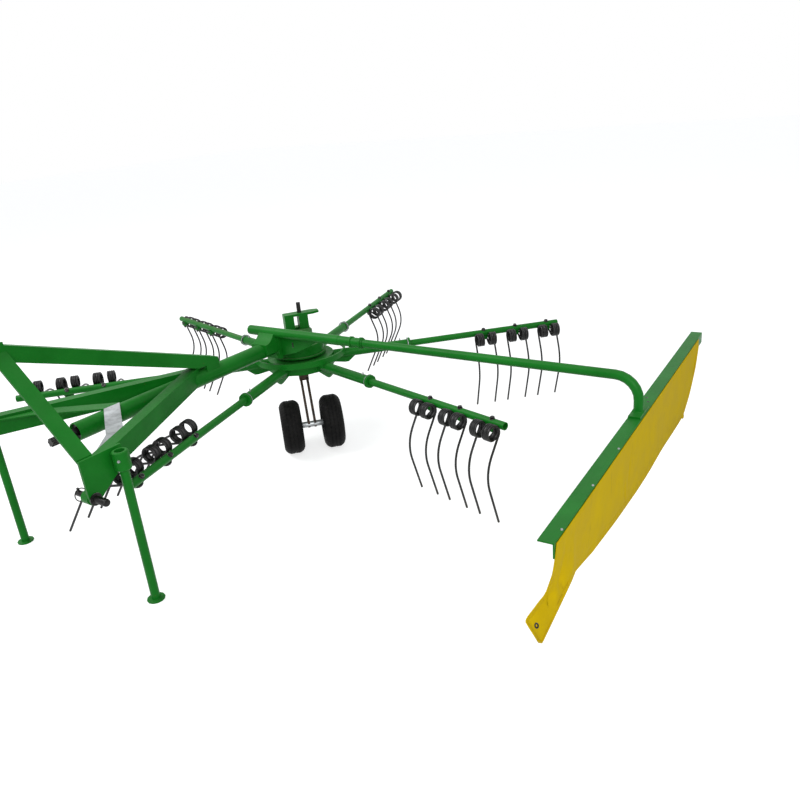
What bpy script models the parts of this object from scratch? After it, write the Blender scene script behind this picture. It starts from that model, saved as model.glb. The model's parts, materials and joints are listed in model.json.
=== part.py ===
"""Rotary hay rake for a tractor's three-point linkage: single rotor, six tine arms, side curtain.

Metres, +Z up, +X towards the tractor, +Y to the left, where the curtain hangs. Everything is laid
out from the rotor's axis on the ground, and the whole machine is then centred over the origin.
"""
import math

import bmesh
import bpy
from mathutils import Matrix, Vector

# ---------------------------------------------------------------- clearances and facets
SEAT = 0.0003            # gap between pieces that are bolted or welded face to face
RUN = 0.0010             # radial play of a shaft or a rod in its bore
AIR = 0.010              # air between parts that pass each other
ROUND = 20               # sides of large round parts
TUBE_SIDES = 12          # sides of tubes and pins
WHEEL_SIDES = 24
WIRE_SIDES = 4           # sides of spring wire
COIL_STEPS = 6           # bends per turn of a spring coil
SHARP_ANGLE = math.radians(35)     # edges sharper than this aren't shaded smooth

# ---------------------------------------------------------------- rotor and tine arms
ARM_TIP_R = 1.430        # rotor axis to the arms' outer ends
ARM_Z = 0.434            # height of the arms' axes
ARM_OD = 0.0337
ARM_WALL = 0.004
FIRST_ARM_AZIMUTH = math.radians(15)
LIFTED, DEEPEST = -45, 21          # ends of an arm's roll over the cam track, degrees
ARMS = (                 # name, roll at rest in degrees: below 0 the fingers trail and lift
    ("arm_1", LIFTED),
    ("arm_2", 5),
    ("arm_3", 12),
    ("arm_4", 16),
    ("arm_5", DEEPEST),
    ("arm_6", LIFTED),
)
SOCKET_OD = 0.0483
SOCKET_LENGTH = 0.350    # of each socket, out of the hub's ring
SOCKET_COLLAR_OD = 0.064
SOCKET_COLLAR_L = 0.012
RING_R = 0.240
RING_THICK = 0.008
RING_H = 0.030
RING_SINK = 0.006        # how far the ring is let into the sockets
ARM_ENGAGED_R = RING_R - 0.020     # rotor axis to the arms' hidden inner ends
DRUM_R = 0.175
DRUM_H = 0.060
FIN_T = 0.010            # web under each socket, out from the drum
FIN_DEPTH = 0.052
FIN_END_R = 0.315

# ---------------------------------------------------------------- double spring tines
TINE_WIRE = 0.009
TINES_PER_ARM = 3
TINE_PITCH = 0.180
TINE_TIP_MARGIN = 0.066  # arm's outer end to the middle of the last double tine
FINGER_SPACING = 0.104   # between the two fingers of a double tine
LOOP_WIDTH = 0.044       # between the two wires of the loop that the clamp holds
COIL_TURNS = 2           # whole turns, before the part turn to where the finger leaves
COIL_MEAN_R = 0.033
COIL_OFFSET = (-0.053, -0.013)     # coil's axis from the arm's axis: tangential, up
ELBOW = (-0.126, -0.165)           # finger's bend, same axes
FINGER_TIP = (-0.082, -0.410)
ELBOW_REACH = 0.085      # straight length that the elbow's bend takes up on each side
TINE_CLAMP_R = 0.024     # half-round clamp under the arm
TINE_CLAMP_W = 0.030

# ---------------------------------------------------------------- rotor housing and king post
PAN_R = 0.128
PAN_LIP_R = 0.138
PAN_BOTTOM = 0.470
PAN_LIP_H = 0.008
PAN_TOP = 0.530
HOUSING_R = 0.078
HOUSING_TOP = 0.600
CROWN_H = 0.026          # height of the case's tapered shoulders
KING_R = 0.045
KING_BOTTOM = 0.372
FLANGE_X = 0.194         # joint face between the case's neck and the main tube
FLANGE_SIZE = 0.110
FLANGE_T = 0.012

# ---------------------------------------------------------------- parking stands
LEG_GAP = 0.060          # arms' outer ends to the legs' axes: the lifted tines swing past
STAND_OD = 0.0337
SOCKET_WALL = 0.0120     # wall of the stand's socket
SOCKET_TOP = 0.617
SOCKET_H = 0.072
SOCKET_LIP = 0.004
STAND_TOP = SOCKET_TOP - 0.017      # the leg ends inside its socket
FOOT_R = 0.034
FOOT_T = 0.006

# ---------------------------------------------------------------- drawbar frame, placed from the legs
PLATE_SPAN = 0.825       # over the outer faces of the hitch plates, category 2
LEG_Y = PLATE_SPAN / 2 + SEAT + STAND_OD / 2 + RUN + SOCKET_WALL
LEG_X = math.sqrt((ARM_TIP_R + LEG_GAP) ** 2 - LEG_Y ** 2)
TUBE_OD = 0.0761
TUBE_WALL = 0.005
TUBE_Z = 0.560
TUBE_FRONT_X = LEG_X - 0.108
BEAM_H = 0.080
BEAM_W = 0.050
BEAM_Z = 0.575
KNEE_X = 0.713           # where the side beams' centre lines meet the tube's
PLATE_T = 0.012
PLATE_REAR = 0.030       # hitch plate's rear edge behind the legs' axes
PLATE_BEAM_X = LEG_X + 0.064       # where a side beam's centre line meets its plate
TOP_BEAM_W = 0.060
TOP_BEAM_H = 0.060
TOP_BEAM_REAR_X = KNEE_X - 0.020   # where its lower face meets the side beams' level
TOP_BEAM_FRONT_X = LEG_X + 0.116
TOP_BEAM_TAIL = 0.120     # its blunt end, behind that place
TOP_BEAM_SHOE_X = KNEE_X - 0.065   # front of its shoe on the main tube, behind the side beams
TOP_BEAM_RISE = 0.312    # from the lower face's rear end to its front end
UPRIGHT_W = 0.060
UPRIGHT_T = 0.010
UPRIGHT_X = LEG_X + 0.106
UPRIGHT_DROP = 0.045     # uprights' upper ends below the top beam's front foot plus its height
EAR_T = 0.010
EAR_R = 0.038
EAR_REACH = 0.075
EAR_HOLE = 0.0255
PIN_X = LEG_X + 0.111
PIN_Z = 0.475
PIN_OD = 0.028
PIN_OUT = 0.064
PIN_COLLAR_OD = 0.050
PIN_COLLAR_L = 0.040
PIN_TAIL_OD = 0.022
PIN_TAIL_L = 0.055
LOBE_WALL = 0.008        # hitch plate's metal round the pin's hole
PLATE_NECK = (0.087, 0.060)        # its lower corner: behind the pin, below the beams' middle
BRACE_T = 0.006
BRACE_W = 0.063
BRACE_X = LEG_X - 0.286  # middle of the braces where they cross the main tube
BRACE_SWEEP = math.radians(56)     # a brace's run, away from straight ahead
BRACE_TOE = 0.105        # its pointed toe, forward along the side beam
BRACE_TOE_GAP = 0.044    # from the beam to where the toe starts on the brace's front edge
PTO_OD = 0.035
PTO_REACH = 0.108
PTO_IN_TUBE = 0.060
PTO_BEARING_T = 0.020
SPLINES = 6
SPLINE_DEPTH = 0.0030
SPLINE_L = 0.075

# ---------------------------------------------------------------- curtain
SLEEVE_X = 0.200
SLEEVE_Z = 0.640
SLEEVE_OD = 0.0483
SLEEVE_RIGHT = -0.130
SLEEVE_LEFT = 0.449
CLAMP_TUBE_OD = 0.0450   # thinner end of the sleeve, with two clamp rings
CLAMP_TUBE_L = 0.140
CLAMP_RING_OD = 0.0540
CLAMP_RING_L = 0.012
CLAMP_RINGS = (0.071, 0.126)       # from the wide part's end to the rings' middles
SADDLE_W = 0.100
SADDLE_DROP = 0.012       # its flanks, below the main tube's axis
GUSSET_CURVE = 2.2       # how steeply it ends: 1 would be a straight slope
GUSSET_L = 0.085         # curved fillet from the sleeve forward to the main tube's top
WEB_T = 0.010            # web plate behind the sleeve and the housing's flange
WEB_LEFT = 0.300
WEB_RIGHT = 0.110
WEB_FOOT = 0.055         # half width of the web's lower edge
WEB_LOW_Z = 0.515
WEB_CURVE = 1.4          # its lower edge: 1 would be straight
ARM_TUBE_OD = 0.0380
ARM_TUBE_INNER_Y = -0.060
DROP_Y = 1.845           # the arm tube's turned-down end
BEND_R = 0.090
FOOTPLATE = (0.120, 0.046, 0.008)
ANGLE_TOP = 0.500
ANGLE_LEG = 0.050
ANGLE_T = 0.005
ANGLE_L = 1.990
ANGLE_SHIFT = -0.050     # middle of the angle, along it, from the arm tube
TOE_IN = math.radians(2.7)
SHEET_T = 0.004
SHEET_OUTLINE = (        # along the angle from its middle, height over the ground
    (-0.905, 0.490),
    (-0.660, 0.186),
    (0.150, 0.221),
    (0.800, 0.262),
    (1.075, 0.205),
    (1.110, 0.265),
    (1.030, 0.315),
    (0.985, 0.490),
)

# ---------------------------------------------------------------- caster
TRAIL = 0.200
CASTER_AZIMUTH = math.radians(46)
CASTER_POST_OD = 0.040
CASTER_POST_TOP = 0.585
CASTER_HEAD_Z = 0.335
CASTER_HEAD = (0.056, 0.050, 0.030)      # block under the post: along the trail, across, high
FORK_GAP = 0.033
FORK_T = 0.012
FORK_W = 0.040
AXLE_OD = 0.024
HALF_TRACK = 0.105
WHEEL_R = 0.138
TYRE_W = 0.105
RIM_R = 0.072
RIM_WALL = 0.006
RIM_DISC = 0.020
HUB_R = 0.026

# ---------------------------------------------------------------- height jack on the housing
JACK_W = 0.122
JACK_SLOT = 0.026        # between its two posts
JACK_TURN = math.radians(-36)
JACK_D = 0.058
JACK_TOP = 0.682
JACK_T = 0.012
JACK_LUG = 0.062         # lug behind the stirrup's top
SPINDLE_OD = 0.022
SPINDLE_SHIFT = -0.024    # from the housing's middle, along the head plate to its lug
SPINDLE_TOP = 0.735
SPINDLE_TAIL = 0.012      # its end below the head plate


# ================================================================ building blocks
def clear_scene():
    for item in list(bpy.data.objects):
        bpy.data.objects.remove(item, do_unlink=True)


def paint(name, colour, roughness, metallic=0.0):
    material = bpy.data.materials.new(name)
    material.use_nodes = True
    shader = material.node_tree.nodes["Principled BSDF"]
    shader.inputs["Base Color"].default_value = (*colour, 1.0)
    shader.inputs["Roughness"].default_value = roughness
    shader.inputs["Metallic"].default_value = metallic
    material.diffuse_color = (*colour, 1.0)
    return material


def axis_point(name, location=(0, 0, 0), rotation=(0, 0, 0), parent=None):
    empty = bpy.data.objects.new(name, None)
    bpy.context.scene.collection.objects.link(empty)
    empty.location = location
    empty.rotation_euler = rotation
    empty.parent = parent
    return empty


def mesh_from(bm, name):
    bmesh.ops.recalc_face_normals(bm, faces=bm.faces)
    mesh = bpy.data.meshes.new(name)
    bm.to_mesh(mesh)
    bm.free()
    return mesh


def placed(name, mesh, material, parent):
    """An object of the mesh; a mesh that brings its own materials keeps them."""
    item = bpy.data.objects.new(name, mesh)
    bpy.context.scene.collection.objects.link(item)
    if not mesh.materials:
        mesh.materials.append(material)
    mesh.shade_smooth()
    mesh.set_sharp_from_angle(angle=SHARP_ANGLE)
    item.parent = parent
    return item


def fused(first, *others, cut=()):
    """One closed mesh: the union of the given meshes, less the cutting ones."""
    scene = bpy.context.scene.collection
    base = bpy.data.objects.new("base", first)
    scene.objects.link(base)
    helpers = []
    for operation, meshes in (("UNION", others), ("DIFFERENCE", cut)):
        for mesh in meshes:
            helper = bpy.data.objects.new("helper", mesh)
            scene.objects.link(helper)
            step = base.modifiers.new(operation, "BOOLEAN")
            step.operation = operation
            step.material_mode = "TRANSFER" if first.materials else "INDEX"
            step.object = helper
            helpers.append(helper)
    graph = bpy.context.evaluated_depsgraph_get()
    result = bpy.data.meshes.new_from_object(base.evaluated_get(graph))
    for item in (base, *helpers):
        bpy.data.objects.remove(item, do_unlink=True)
    return result


def turned(profile, axis="Z", sides=ROUND, origin=(0, 0, 0)):
    """Solid of revolution. profile: closed loop of (radius, height along the axis)."""
    bm = bmesh.new()
    rings = []
    for radius, height in profile:
        if radius == 0:
            rings.append([bm.verts.new((0, 0, height))])
            continue
        rings.append([
            bm.verts.new((radius * math.cos(turn), radius * math.sin(turn), height))
            for turn in (2 * math.pi * k / sides for k in range(sides))
        ])
    for lower, upper in zip(rings, rings[1:] + rings[:1]):
        for k in range(sides):
            corners = [lower[k % len(lower)], lower[(k + 1) % len(lower)],
                       upper[(k + 1) % len(upper)], upper[k % len(upper)]]
            corners = list(dict.fromkeys(corners))
            if len(corners) > 2:
                bm.faces.new(corners)
    if axis == "X":
        bm.transform(Matrix.Rotation(math.pi / 2, 4, "Y"))
    if axis == "Y":
        bm.transform(Matrix.Rotation(-math.pi / 2, 4, "X"))
    bm.transform(Matrix.Translation(origin))
    return mesh_from(bm, "turned")


def rod(start, end, diameter, bore=0.0, sides=TUBE_SIDES):
    """Round bar, or a tube when a bore is given, between two points."""
    start, end = Vector(start), Vector(end)
    length = (end - start).length
    outer = diameter / 2
    if bore:
        profile = [(bore / 2, 0), (outer, 0), (outer, length), (bore / 2, length)]
    else:
        profile = [(0, 0), (outer, 0), (outer, length), (0, length)]
    mesh = turned(profile, sides=sides)
    spin = Vector((0, 0, 1)).rotation_difference(end - start).to_matrix().to_4x4()
    mesh.transform(Matrix.Translation(start) @ spin)
    return mesh


def block(low, high):
    bm = bmesh.new()
    bmesh.ops.create_cube(bm, size=1.0)
    size = [high[k] - low[k] for k in range(3)]
    middle = [(high[k] + low[k]) / 2 for k in range(3)]
    bm.transform(Matrix.Translation(middle) @ Matrix.Diagonal((*size, 1.0)))
    return mesh_from(bm, "block")


def plate(outline, low, high, plane="XZ"):
    """Flat outline in a plane, extruded along the plane's normal from low to high."""
    order = {"XZ": lambda u, v, w: (u, w, v),
             "YZ": lambda u, v, w: (w, u, v),
             "XY": lambda u, v, w: (u, v, w)}[plane]
    bm = bmesh.new()
    lower = [bm.verts.new(order(u, v, low)) for u, v in outline]
    upper = [bm.verts.new(order(u, v, high)) for u, v in outline]
    bm.faces.new(lower)
    bm.faces.new(upper)
    count = len(outline)
    for k in range(count):
        bm.faces.new((lower[k], lower[(k + 1) % count], upper[(k + 1) % count], upper[k]))
    return mesh_from(bm, "plate")


def arc(centre, radius, start, end, steps):
    """Points on a circle, angles in degrees."""
    return [
        (centre[0] + radius * math.cos(math.radians(start + (end - start) * k / steps)),
         centre[1] + radius * math.sin(math.radians(start + (end - start) * k / steps)))
        for k in range(steps + 1)
    ]


def wire(points, diameter, sides=WIRE_SIDES):
    """Round bar bent along a path, its ends capped."""
    path = [Vector(point) for point in points]
    tangents = []
    for k in range(len(path)):
        ahead = path[min(k + 1, len(path) - 1)]
        behind = path[max(k - 1, 0)]
        tangents.append((ahead - behind).normalized())
    side = tangents[0].orthogonal().normalized()
    bm = bmesh.new()
    rings = []
    for k, (centre, along) in enumerate(zip(path, tangents)):
        if k:
            side = tangents[k - 1].rotation_difference(along) @ side
        other = along.cross(side)
        rings.append([
            bm.verts.new(centre + (side * math.cos(turn) + other * math.sin(turn)) * diameter / 2)
            for turn in (2 * math.pi * (j + 0.5) / sides for j in range(sides))
        ])
    for near, far in zip(rings, rings[1:]):
        for j in range(sides):
            bm.faces.new((near[j], near[(j + 1) % sides], far[(j + 1) % sides], far[j]))
    bm.faces.new(rings[0])
    bm.faces.new(rings[-1])
    return mesh_from(bm, "wire")


def mirrored(mesh):
    """The same mesh on the machine's other side."""
    copy = mesh.copy()
    copy.transform(Matrix.Diagonal((1, -1, 1, 1)))
    copy.flip_normals()
    return copy


# ================================================================ rotor
def rotor_spider():
    """Hub drum with six arm sockets, a web under each, and the ring that ties them."""
    drum_low = ARM_Z - DRUM_H * 0.6
    drum_high = drum_low + DRUM_H
    bore = KING_R + RUN
    drum = turned([(bore, drum_low), (DRUM_R, drum_low), (DRUM_R, drum_high), (bore, drum_high)])
    ring_low = ARM_Z + SOCKET_OD / 2 - RING_SINK
    ring = turned([(RING_R - RING_THICK, ring_low), (RING_R, ring_low),
                   (RING_R, ring_low + RING_H), (RING_R - RING_THICK, ring_low + RING_H)],
                  sides=4 * len(ARMS))
    bore_d = ARM_OD + 2 * RUN
    start = DRUM_R * 0.8
    end = RING_R + SOCKET_LENGTH
    sockets, webs, bores = [], [], []
    for index in range(len(ARMS)):
        turn = Matrix.Rotation(FIRST_ARM_AZIMUTH + index * 2 * math.pi / len(ARMS), 4, "Z")
        outline = [(0, start), (SOCKET_OD / 2, start),
                   (SOCKET_OD / 2, end - SOCKET_COLLAR_L),
                   (SOCKET_COLLAR_OD / 2, end - SOCKET_COLLAR_L),
                   (SOCKET_COLLAR_OD / 2, end), (0, end)]
        socket = turned(outline, axis="X", sides=TUBE_SIDES)
        web = plate([(start, 0), (start, -FIN_DEPTH * 0.7), (RING_R - FIN_T, -FIN_DEPTH),
                     (RING_R + FIN_T, -FIN_DEPTH), (FIN_END_R, 0)], -FIN_T / 2, FIN_T / 2)
        hole = rod((ARM_ENGAGED_R - SEAT, 0, 0), (end + AIR, 0, 0), bore_d)
        for mesh, group in ((socket, sockets), (web, webs), (hole, bores)):
            mesh.transform(Matrix.Translation((0, 0, ARM_Z)) @ turn)
            group.append(mesh)
    return fused(drum, ring, *sockets, *webs, cut=bores)


def tine_path():
    """Half of a double tine's wire, from the loop under the arm to the finger's tip.

    Points are (along the arm, tangential, up) from the arm's axis, at the tine's middle.
    """
    coil = Vector(COIL_OFFSET)
    hold = Vector((TINE_CLAMP_R / 2, -(ARM_OD + TINE_WIRE) / 2))
    to_coil = coil - hold
    tangent_turn = math.asin(COIL_MEAN_R / to_coil.length)
    arrive = math.atan2(to_coil.y, to_coil.x) + tangent_turn + math.pi / 2
    upper = (Vector(ELBOW) - coil).normalized()
    leave = math.atan2(upper.y, upper.x) + math.pi / 2
    winding = (arrive - leave) % (2 * math.pi) + COIL_TURNS * 2 * math.pi

    loop = LOOP_WIDTH / 2
    width = FINGER_SPACING / 2 - loop
    points = [(loop * math.sin(turn), hold.x + loop * math.cos(turn), hold.y)
              for turn in (0, math.pi / 4, math.pi / 2)]
    steps = round(winding / (2 * math.pi) * COIL_STEPS)
    for step in range(steps + 1):
        turn = arrive - winding * step / steps
        points.append((loop + width * step / steps,
                       coil.x + COIL_MEAN_R * math.cos(turn),
                       coil.y + COIL_MEAN_R * math.sin(turn)))
    elbow, tip = Vector(ELBOW), Vector(FINGER_TIP)
    into = (elbow - Vector(points[-1][1:])).normalized()
    onward = (tip - elbow).normalized()
    before, after = elbow - into * ELBOW_REACH, elbow + onward * ELBOW_REACH
    for share in (0, 1 / 3, 2 / 3, 1):
        bend = before.lerp(elbow, share).lerp(elbow.lerp(after, share), share)
        points.append((FINGER_SPACING / 2, *bend))
    points.append((FINGER_SPACING / 2, *tip))
    return points


def arm_mesh(tube_paint, tine_paint):
    """Arm tube with its double spring tines and their clamps, along +X, raking straight down."""
    tube = rod((ARM_ENGAGED_R, 0, 0), (ARM_TIP_R, 0, 0), ARM_OD, ARM_OD - 2 * ARM_WALL)
    half = tine_path()
    path = [(-x, y, z) for x, y, z in reversed(half[1:])] + half
    clamps, tines = [], []
    for index in range(TINES_PER_ARM):
        middle = ARM_TIP_R - TINE_TIP_MARGIN - index * TINE_PITCH
        tine = wire(path, TINE_WIRE)
        tine.transform(Matrix.Translation((middle, 0, 0)))
        tines.append(tine)
        outline = arc((middle, 0), TINE_CLAMP_R, 180, 360, 8)
        low = -(ARM_OD / 2 - ARM_WALL / 2)
        clamp = plate([(x, low + z) for x, z in outline], -TINE_CLAMP_W / 2, TINE_CLAMP_W / 2)
        clamps.append(clamp)
    for mesh in (tube, *clamps):
        mesh.materials.append(tube_paint)
    for mesh in tines:
        mesh.materials.append(tine_paint)
    return fused(tube, *clamps, *tines)


# ================================================================ housing, king post, jack
def gear_housing():
    """Gear case over the cam pan, with its neck and king post, bored for the caster's post."""
    body = turned([(0, KING_BOTTOM), (KING_R, KING_BOTTOM), (KING_R, PAN_BOTTOM),
                   (PAN_LIP_R, PAN_BOTTOM), (PAN_LIP_R, PAN_BOTTOM + PAN_LIP_H),
                   (PAN_R, PAN_BOTTOM + PAN_LIP_H), (PAN_R, PAN_TOP),
                   (HOUSING_R, PAN_TOP + CROWN_H), (HOUSING_R, HOUSING_TOP - CROWN_H / 2),
                   (HOUSING_R - CROWN_H / 2, HOUSING_TOP), (0, HOUSING_TOP)])
    body.transform(Matrix.Rotation(math.pi / ROUND, 4, "Z"))
    half = FLANGE_SIZE / 2
    neck = rod((0, 0, TUBE_Z), (FLANGE_X - FLANGE_T / 2, 0, TUBE_Z), TUBE_OD, sides=ROUND)
    flange = block((FLANGE_X - FLANGE_T, -half, TUBE_Z - half), (FLANGE_X, half, TUBE_Z + half))
    bore = rod((0, 0, KING_BOTTOM - AIR), (0, 0, HOUSING_TOP + AIR),
               CASTER_POST_OD + 2 * RUN)
    return fused(body, neck, flange, cut=[bore])


def jack_bracket():
    """Two posts on the housing and their head plate, which carries the height spindle."""
    low, half, slot = HOUSING_TOP + SEAT, JACK_W / 2, JACK_SLOT / 2
    outline = [(-half, low), (-half, JACK_TOP - JACK_T), (-half - JACK_LUG, JACK_TOP - JACK_T),
               (-half - JACK_LUG, JACK_TOP), (half, JACK_TOP), (half, low), (slot, low),
               (slot, JACK_TOP - JACK_T), (-slot, JACK_TOP - JACK_T), (-slot, low)]
    stirrup = plate(outline, -JACK_D / 2, JACK_D / 2)
    corners = [plate([(-half - JACK_LUG - AIR, side * JACK_D / 4),
                      (-half, side * (JACK_D / 2 + AIR)),
                      (-half - JACK_LUG - AIR, side * (JACK_D / 2 + AIR))],
                     low - AIR, JACK_TOP + AIR, plane="XY") for side in (-1, 1)]
    hole = rod((SPINDLE_SHIFT, 0, JACK_TOP - 2 * JACK_T), (SPINDLE_SHIFT, 0, JACK_TOP + AIR),
               SPINDLE_OD + 2 * SEAT)
    bracket = fused(stirrup, cut=[hole, *corners])
    bracket.transform(Matrix.Rotation(JACK_TURN, 4, "Z"))
    return bracket


def jack_spindle():
    """Height spindle's head, from just under the head plate to its top."""
    spindle = rod((SPINDLE_SHIFT, 0, JACK_TOP - JACK_T - SPINDLE_TAIL),
                  (SPINDLE_SHIFT, 0, SPINDLE_TOP), SPINDLE_OD)
    spindle.transform(Matrix.Rotation(JACK_TURN, 4, "Z"))
    return spindle


# ================================================================ frame
def main_tube():
    """Drawbar tube, with a square flange at the housing and open in front."""
    rear, half = FLANGE_X + SEAT, FLANGE_SIZE / 2
    tube = rod((rear, 0, TUBE_Z), (TUBE_FRONT_X, 0, TUBE_Z), TUBE_OD, sides=ROUND)
    flange = block((rear, -half, TUBE_Z - half), (rear + FLANGE_T, half, TUBE_Z + half))
    bore = rod((rear + FLANGE_T, 0, TUBE_Z), (TUBE_FRONT_X + AIR, 0, TUBE_Z),
               TUBE_OD - 2 * TUBE_WALL, sides=ROUND)
    return fused(tube, flange, cut=[bore])


def around_tube(start, end):
    """Cutter that seats a piece on the main tube between two places along it."""
    return rod((start, 0, TUBE_Z), (end, 0, TUBE_Z), TUBE_OD + 2 * SEAT, sides=ROUND)


def side_beam():
    """Box beam from the knee to the left hitch plate, open at its front end."""
    start = Vector((KNEE_X, 0, 0))
    face_y = PLATE_SPAN / 2 - PLATE_T - SEAT
    end = Vector((PLATE_BEAM_X, face_y, 0))
    along = (end - start).normalized()
    across = Vector((-along.y, along.x, 0))
    corners = []
    for level, side in ((0, -1), (face_y, -1), (face_y, 1), (0, 1)):
        edge = start + across * side * BEAM_W / 2
        reach = (max(level, SEAT / 2) - edge.y) / along.y
        corners.append((edge + along * reach)[:2])
    low = BEAM_Z - BEAM_H / 2
    beam = plate(corners, low, low + BEAM_H, plane="XY")
    return fused(beam, cut=[around_tube(FLANGE_X, TUBE_FRONT_X)])


def brace():
    """Flat bar from the main tube's top to the left side beam, with a pointed toe along it."""
    along = Vector((math.cos(BRACE_SWEEP), math.sin(BRACE_SWEEP), 0))
    across = Vector((along.y, -along.x, 0))
    beam_start = Vector((KNEE_X, 0, 0))
    beam_along = (Vector((PLATE_BEAM_X, PLATE_SPAN / 2 - PLATE_T - SEAT, 0))
                  - beam_start).normalized()
    beam_side = Vector((beam_along.y, -beam_along.x, 0))
    face = beam_start + beam_side * (BEAM_W / 2 + SEAT)

    def edge_point(side, distance):
        """On an edge of the bar, at a distance from the beam."""
        edge = Vector((BRACE_X, 0, 0)) + across * side * BRACE_W / 2
        reach = (distance - (edge - face).dot(beam_side)) / along.dot(beam_side)
        return edge + along * reach

    corners = []
    for side in (-1, 1):
        edge = Vector((BRACE_X, 0, 0)) + across * side * BRACE_W / 2
        corners.append(edge + along * (SEAT / 2 - edge.y) / along.y)
    heel = edge_point(-1, 0)
    toe_root = edge_point(1, BRACE_TOE_GAP)
    toe = edge_point(1, 0) + beam_along * BRACE_TOE
    outline = [corner[:2] for corner in (corners[0], corners[1], toe_root, toe, heel)]
    low = TUBE_Z + TUBE_OD / 2 + SEAT
    return plate(outline, low, low + BRACE_T, plane="XY")


def top_beam_line():
    """Rear and front end of the top beam's lower face, and its two directions, in X and Z."""
    foot = Vector((TOP_BEAM_REAR_X, BEAM_Z + BEAM_H / 2 + SEAT))
    head = Vector((TOP_BEAM_FRONT_X, foot.y + TOP_BEAM_RISE))
    rise = (head - foot).normalized()
    return foot, head, rise, Vector((-rise.y, rise.x))


def top_link_eye():
    """Middle of the top link's hole, in X and Z."""
    head, up = top_beam_line()[1], top_beam_line()[3]
    return head + up * TOP_BEAM_H / 2 + Vector((EAR_REACH - EAR_R, 0))


def top_beam():
    """Box beam, mitred to lie on the main tube, up to the top link, with its two ears."""
    foot, head, rise, up = top_beam_line()
    saddle = TUBE_Z + TUBE_OD / 4
    upper = head + up * TOP_BEAM_H
    tail = upper + rise * ((foot.x - TOP_BEAM_TAIL - upper.x) / rise.x)
    outline = [foot, head, upper, tail, (tail.x, saddle), (TOP_BEAM_SHOE_X, saddle),
               (TOP_BEAM_SHOE_X, foot.y)]
    beam = plate(outline, -TOP_BEAM_W / 2, TOP_BEAM_W / 2)
    eye, root, flank = top_link_eye(), head.x - EAR_R, EAR_R * 0.9
    ears = []
    for side in (-1, 1):
        centre = side * (TOP_BEAM_W / 2 - EAR_T / 2)
        outline = arc(eye, EAR_R, -90, 90, 8) + [(root, eye.y + flank), (root, eye.y - flank)]
        ears.append(plate(outline, centre - EAR_T / 2, centre + EAR_T / 2))
    hole = rod((eye.x, -TOP_BEAM_W, eye.y), (eye.x, TOP_BEAM_W, eye.y), EAR_HOLE)
    return fused(beam, *ears, cut=[hole, around_tube(FLANGE_X, TUBE_FRONT_X)])


def upright():
    """Flat bar from the left hitch plate in to the top beam's side."""
    outer = PLATE_SPAN / 2 - PLATE_T - SEAT
    inner = TOP_BEAM_W / 2 + SEAT
    low = BEAM_Z + BEAM_H / 2 + SEAT
    high = top_beam_line()[1].y + TOP_BEAM_H - UPRIGHT_DROP
    thick = UPRIGHT_T * math.hypot(outer - inner, high - low) / (outer - inner)
    outline = [(outer, low), (outer, low + thick), (inner, high + thick), (inner, high)]
    return plate(outline, UPRIGHT_X - UPRIGHT_W / 2, UPRIGHT_X + UPRIGHT_W / 2, plane="YZ")


def hitch_plate():
    """Left cheek: carries the beam, the upright, the stand's socket and the lower pin."""
    top = BEAM_Z + BEAM_H / 2 + UPRIGHT_T
    rear = LEG_X - PLATE_REAR
    lobe = arc((PIN_X, PIN_Z), PIN_OD / 2 + LOBE_WALL, -150, 0, 8)
    outline = [(rear, top), (rear, SOCKET_TOP - SOCKET_H),
               (PIN_X - PLATE_NECK[0], BEAM_Z - PLATE_NECK[1]),
               *lobe, (UPRIGHT_X + UPRIGHT_W / 2, top)]
    outer = PLATE_SPAN / 2
    body = plate(outline, outer - PLATE_T, outer)
    hole = rod((PIN_X, 0, PIN_Z), (PIN_X, outer + AIR, PIN_Z), PIN_OD + 2 * SEAT)
    return fused(body, cut=[hole])


def lower_pin():
    """Linkage pin through the left plate: thick outside, with a collar and a tail inside."""
    outer = PLATE_SPAN / 2
    inner = outer - PLATE_T - SEAT
    tail = inner - PIN_COLLAR_L
    profile = [(0, tail - PIN_TAIL_L), (PIN_TAIL_OD / 2, tail - PIN_TAIL_L),
               (PIN_TAIL_OD / 2, tail), (PIN_COLLAR_OD / 2, tail), (PIN_COLLAR_OD / 2, inner),
               (PIN_OD / 2, inner), (PIN_OD / 2, outer + PIN_OUT), (0, outer + PIN_OUT)]
    return turned(profile, axis="Y", sides=TUBE_SIDES, origin=(PIN_X, 0, PIN_Z))


def pto_shaft():
    """Stub shaft out of the main tube's mouth, with splines near its end."""
    rear, front = TUBE_FRONT_X - PTO_IN_TUBE, TUBE_FRONT_X + PTO_REACH
    shaft = rod((rear, 0, TUBE_Z), (front, 0, TUBE_Z), PTO_OD, sides=SPLINES * 4)
    grooves = []
    for index in range(SPLINES):
        turn = Matrix.Rotation(2 * math.pi * index / SPLINES, 4, "X")
        width, bottom = PTO_OD * math.sin(math.pi / SPLINES / 2), PTO_OD / 2 - SPLINE_DEPTH
        groove = block((front - SPLINE_L, -width / 2, bottom), (front + AIR, width / 2, PTO_OD))
        groove.transform(Matrix.Translation((0, 0, TUBE_Z)) @ turn)
        grooves.append(groove)
    return fused(shaft, cut=grooves)


def pto_bearing():
    back = TUBE_FRONT_X - PTO_IN_TUBE / 2
    return rod((back, 0, TUBE_Z), (back + PTO_BEARING_T, 0, TUBE_Z),
               TUBE_OD - 2 * TUBE_WALL - 2 * SEAT, PTO_OD + 2 * RUN, sides=ROUND)


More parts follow.
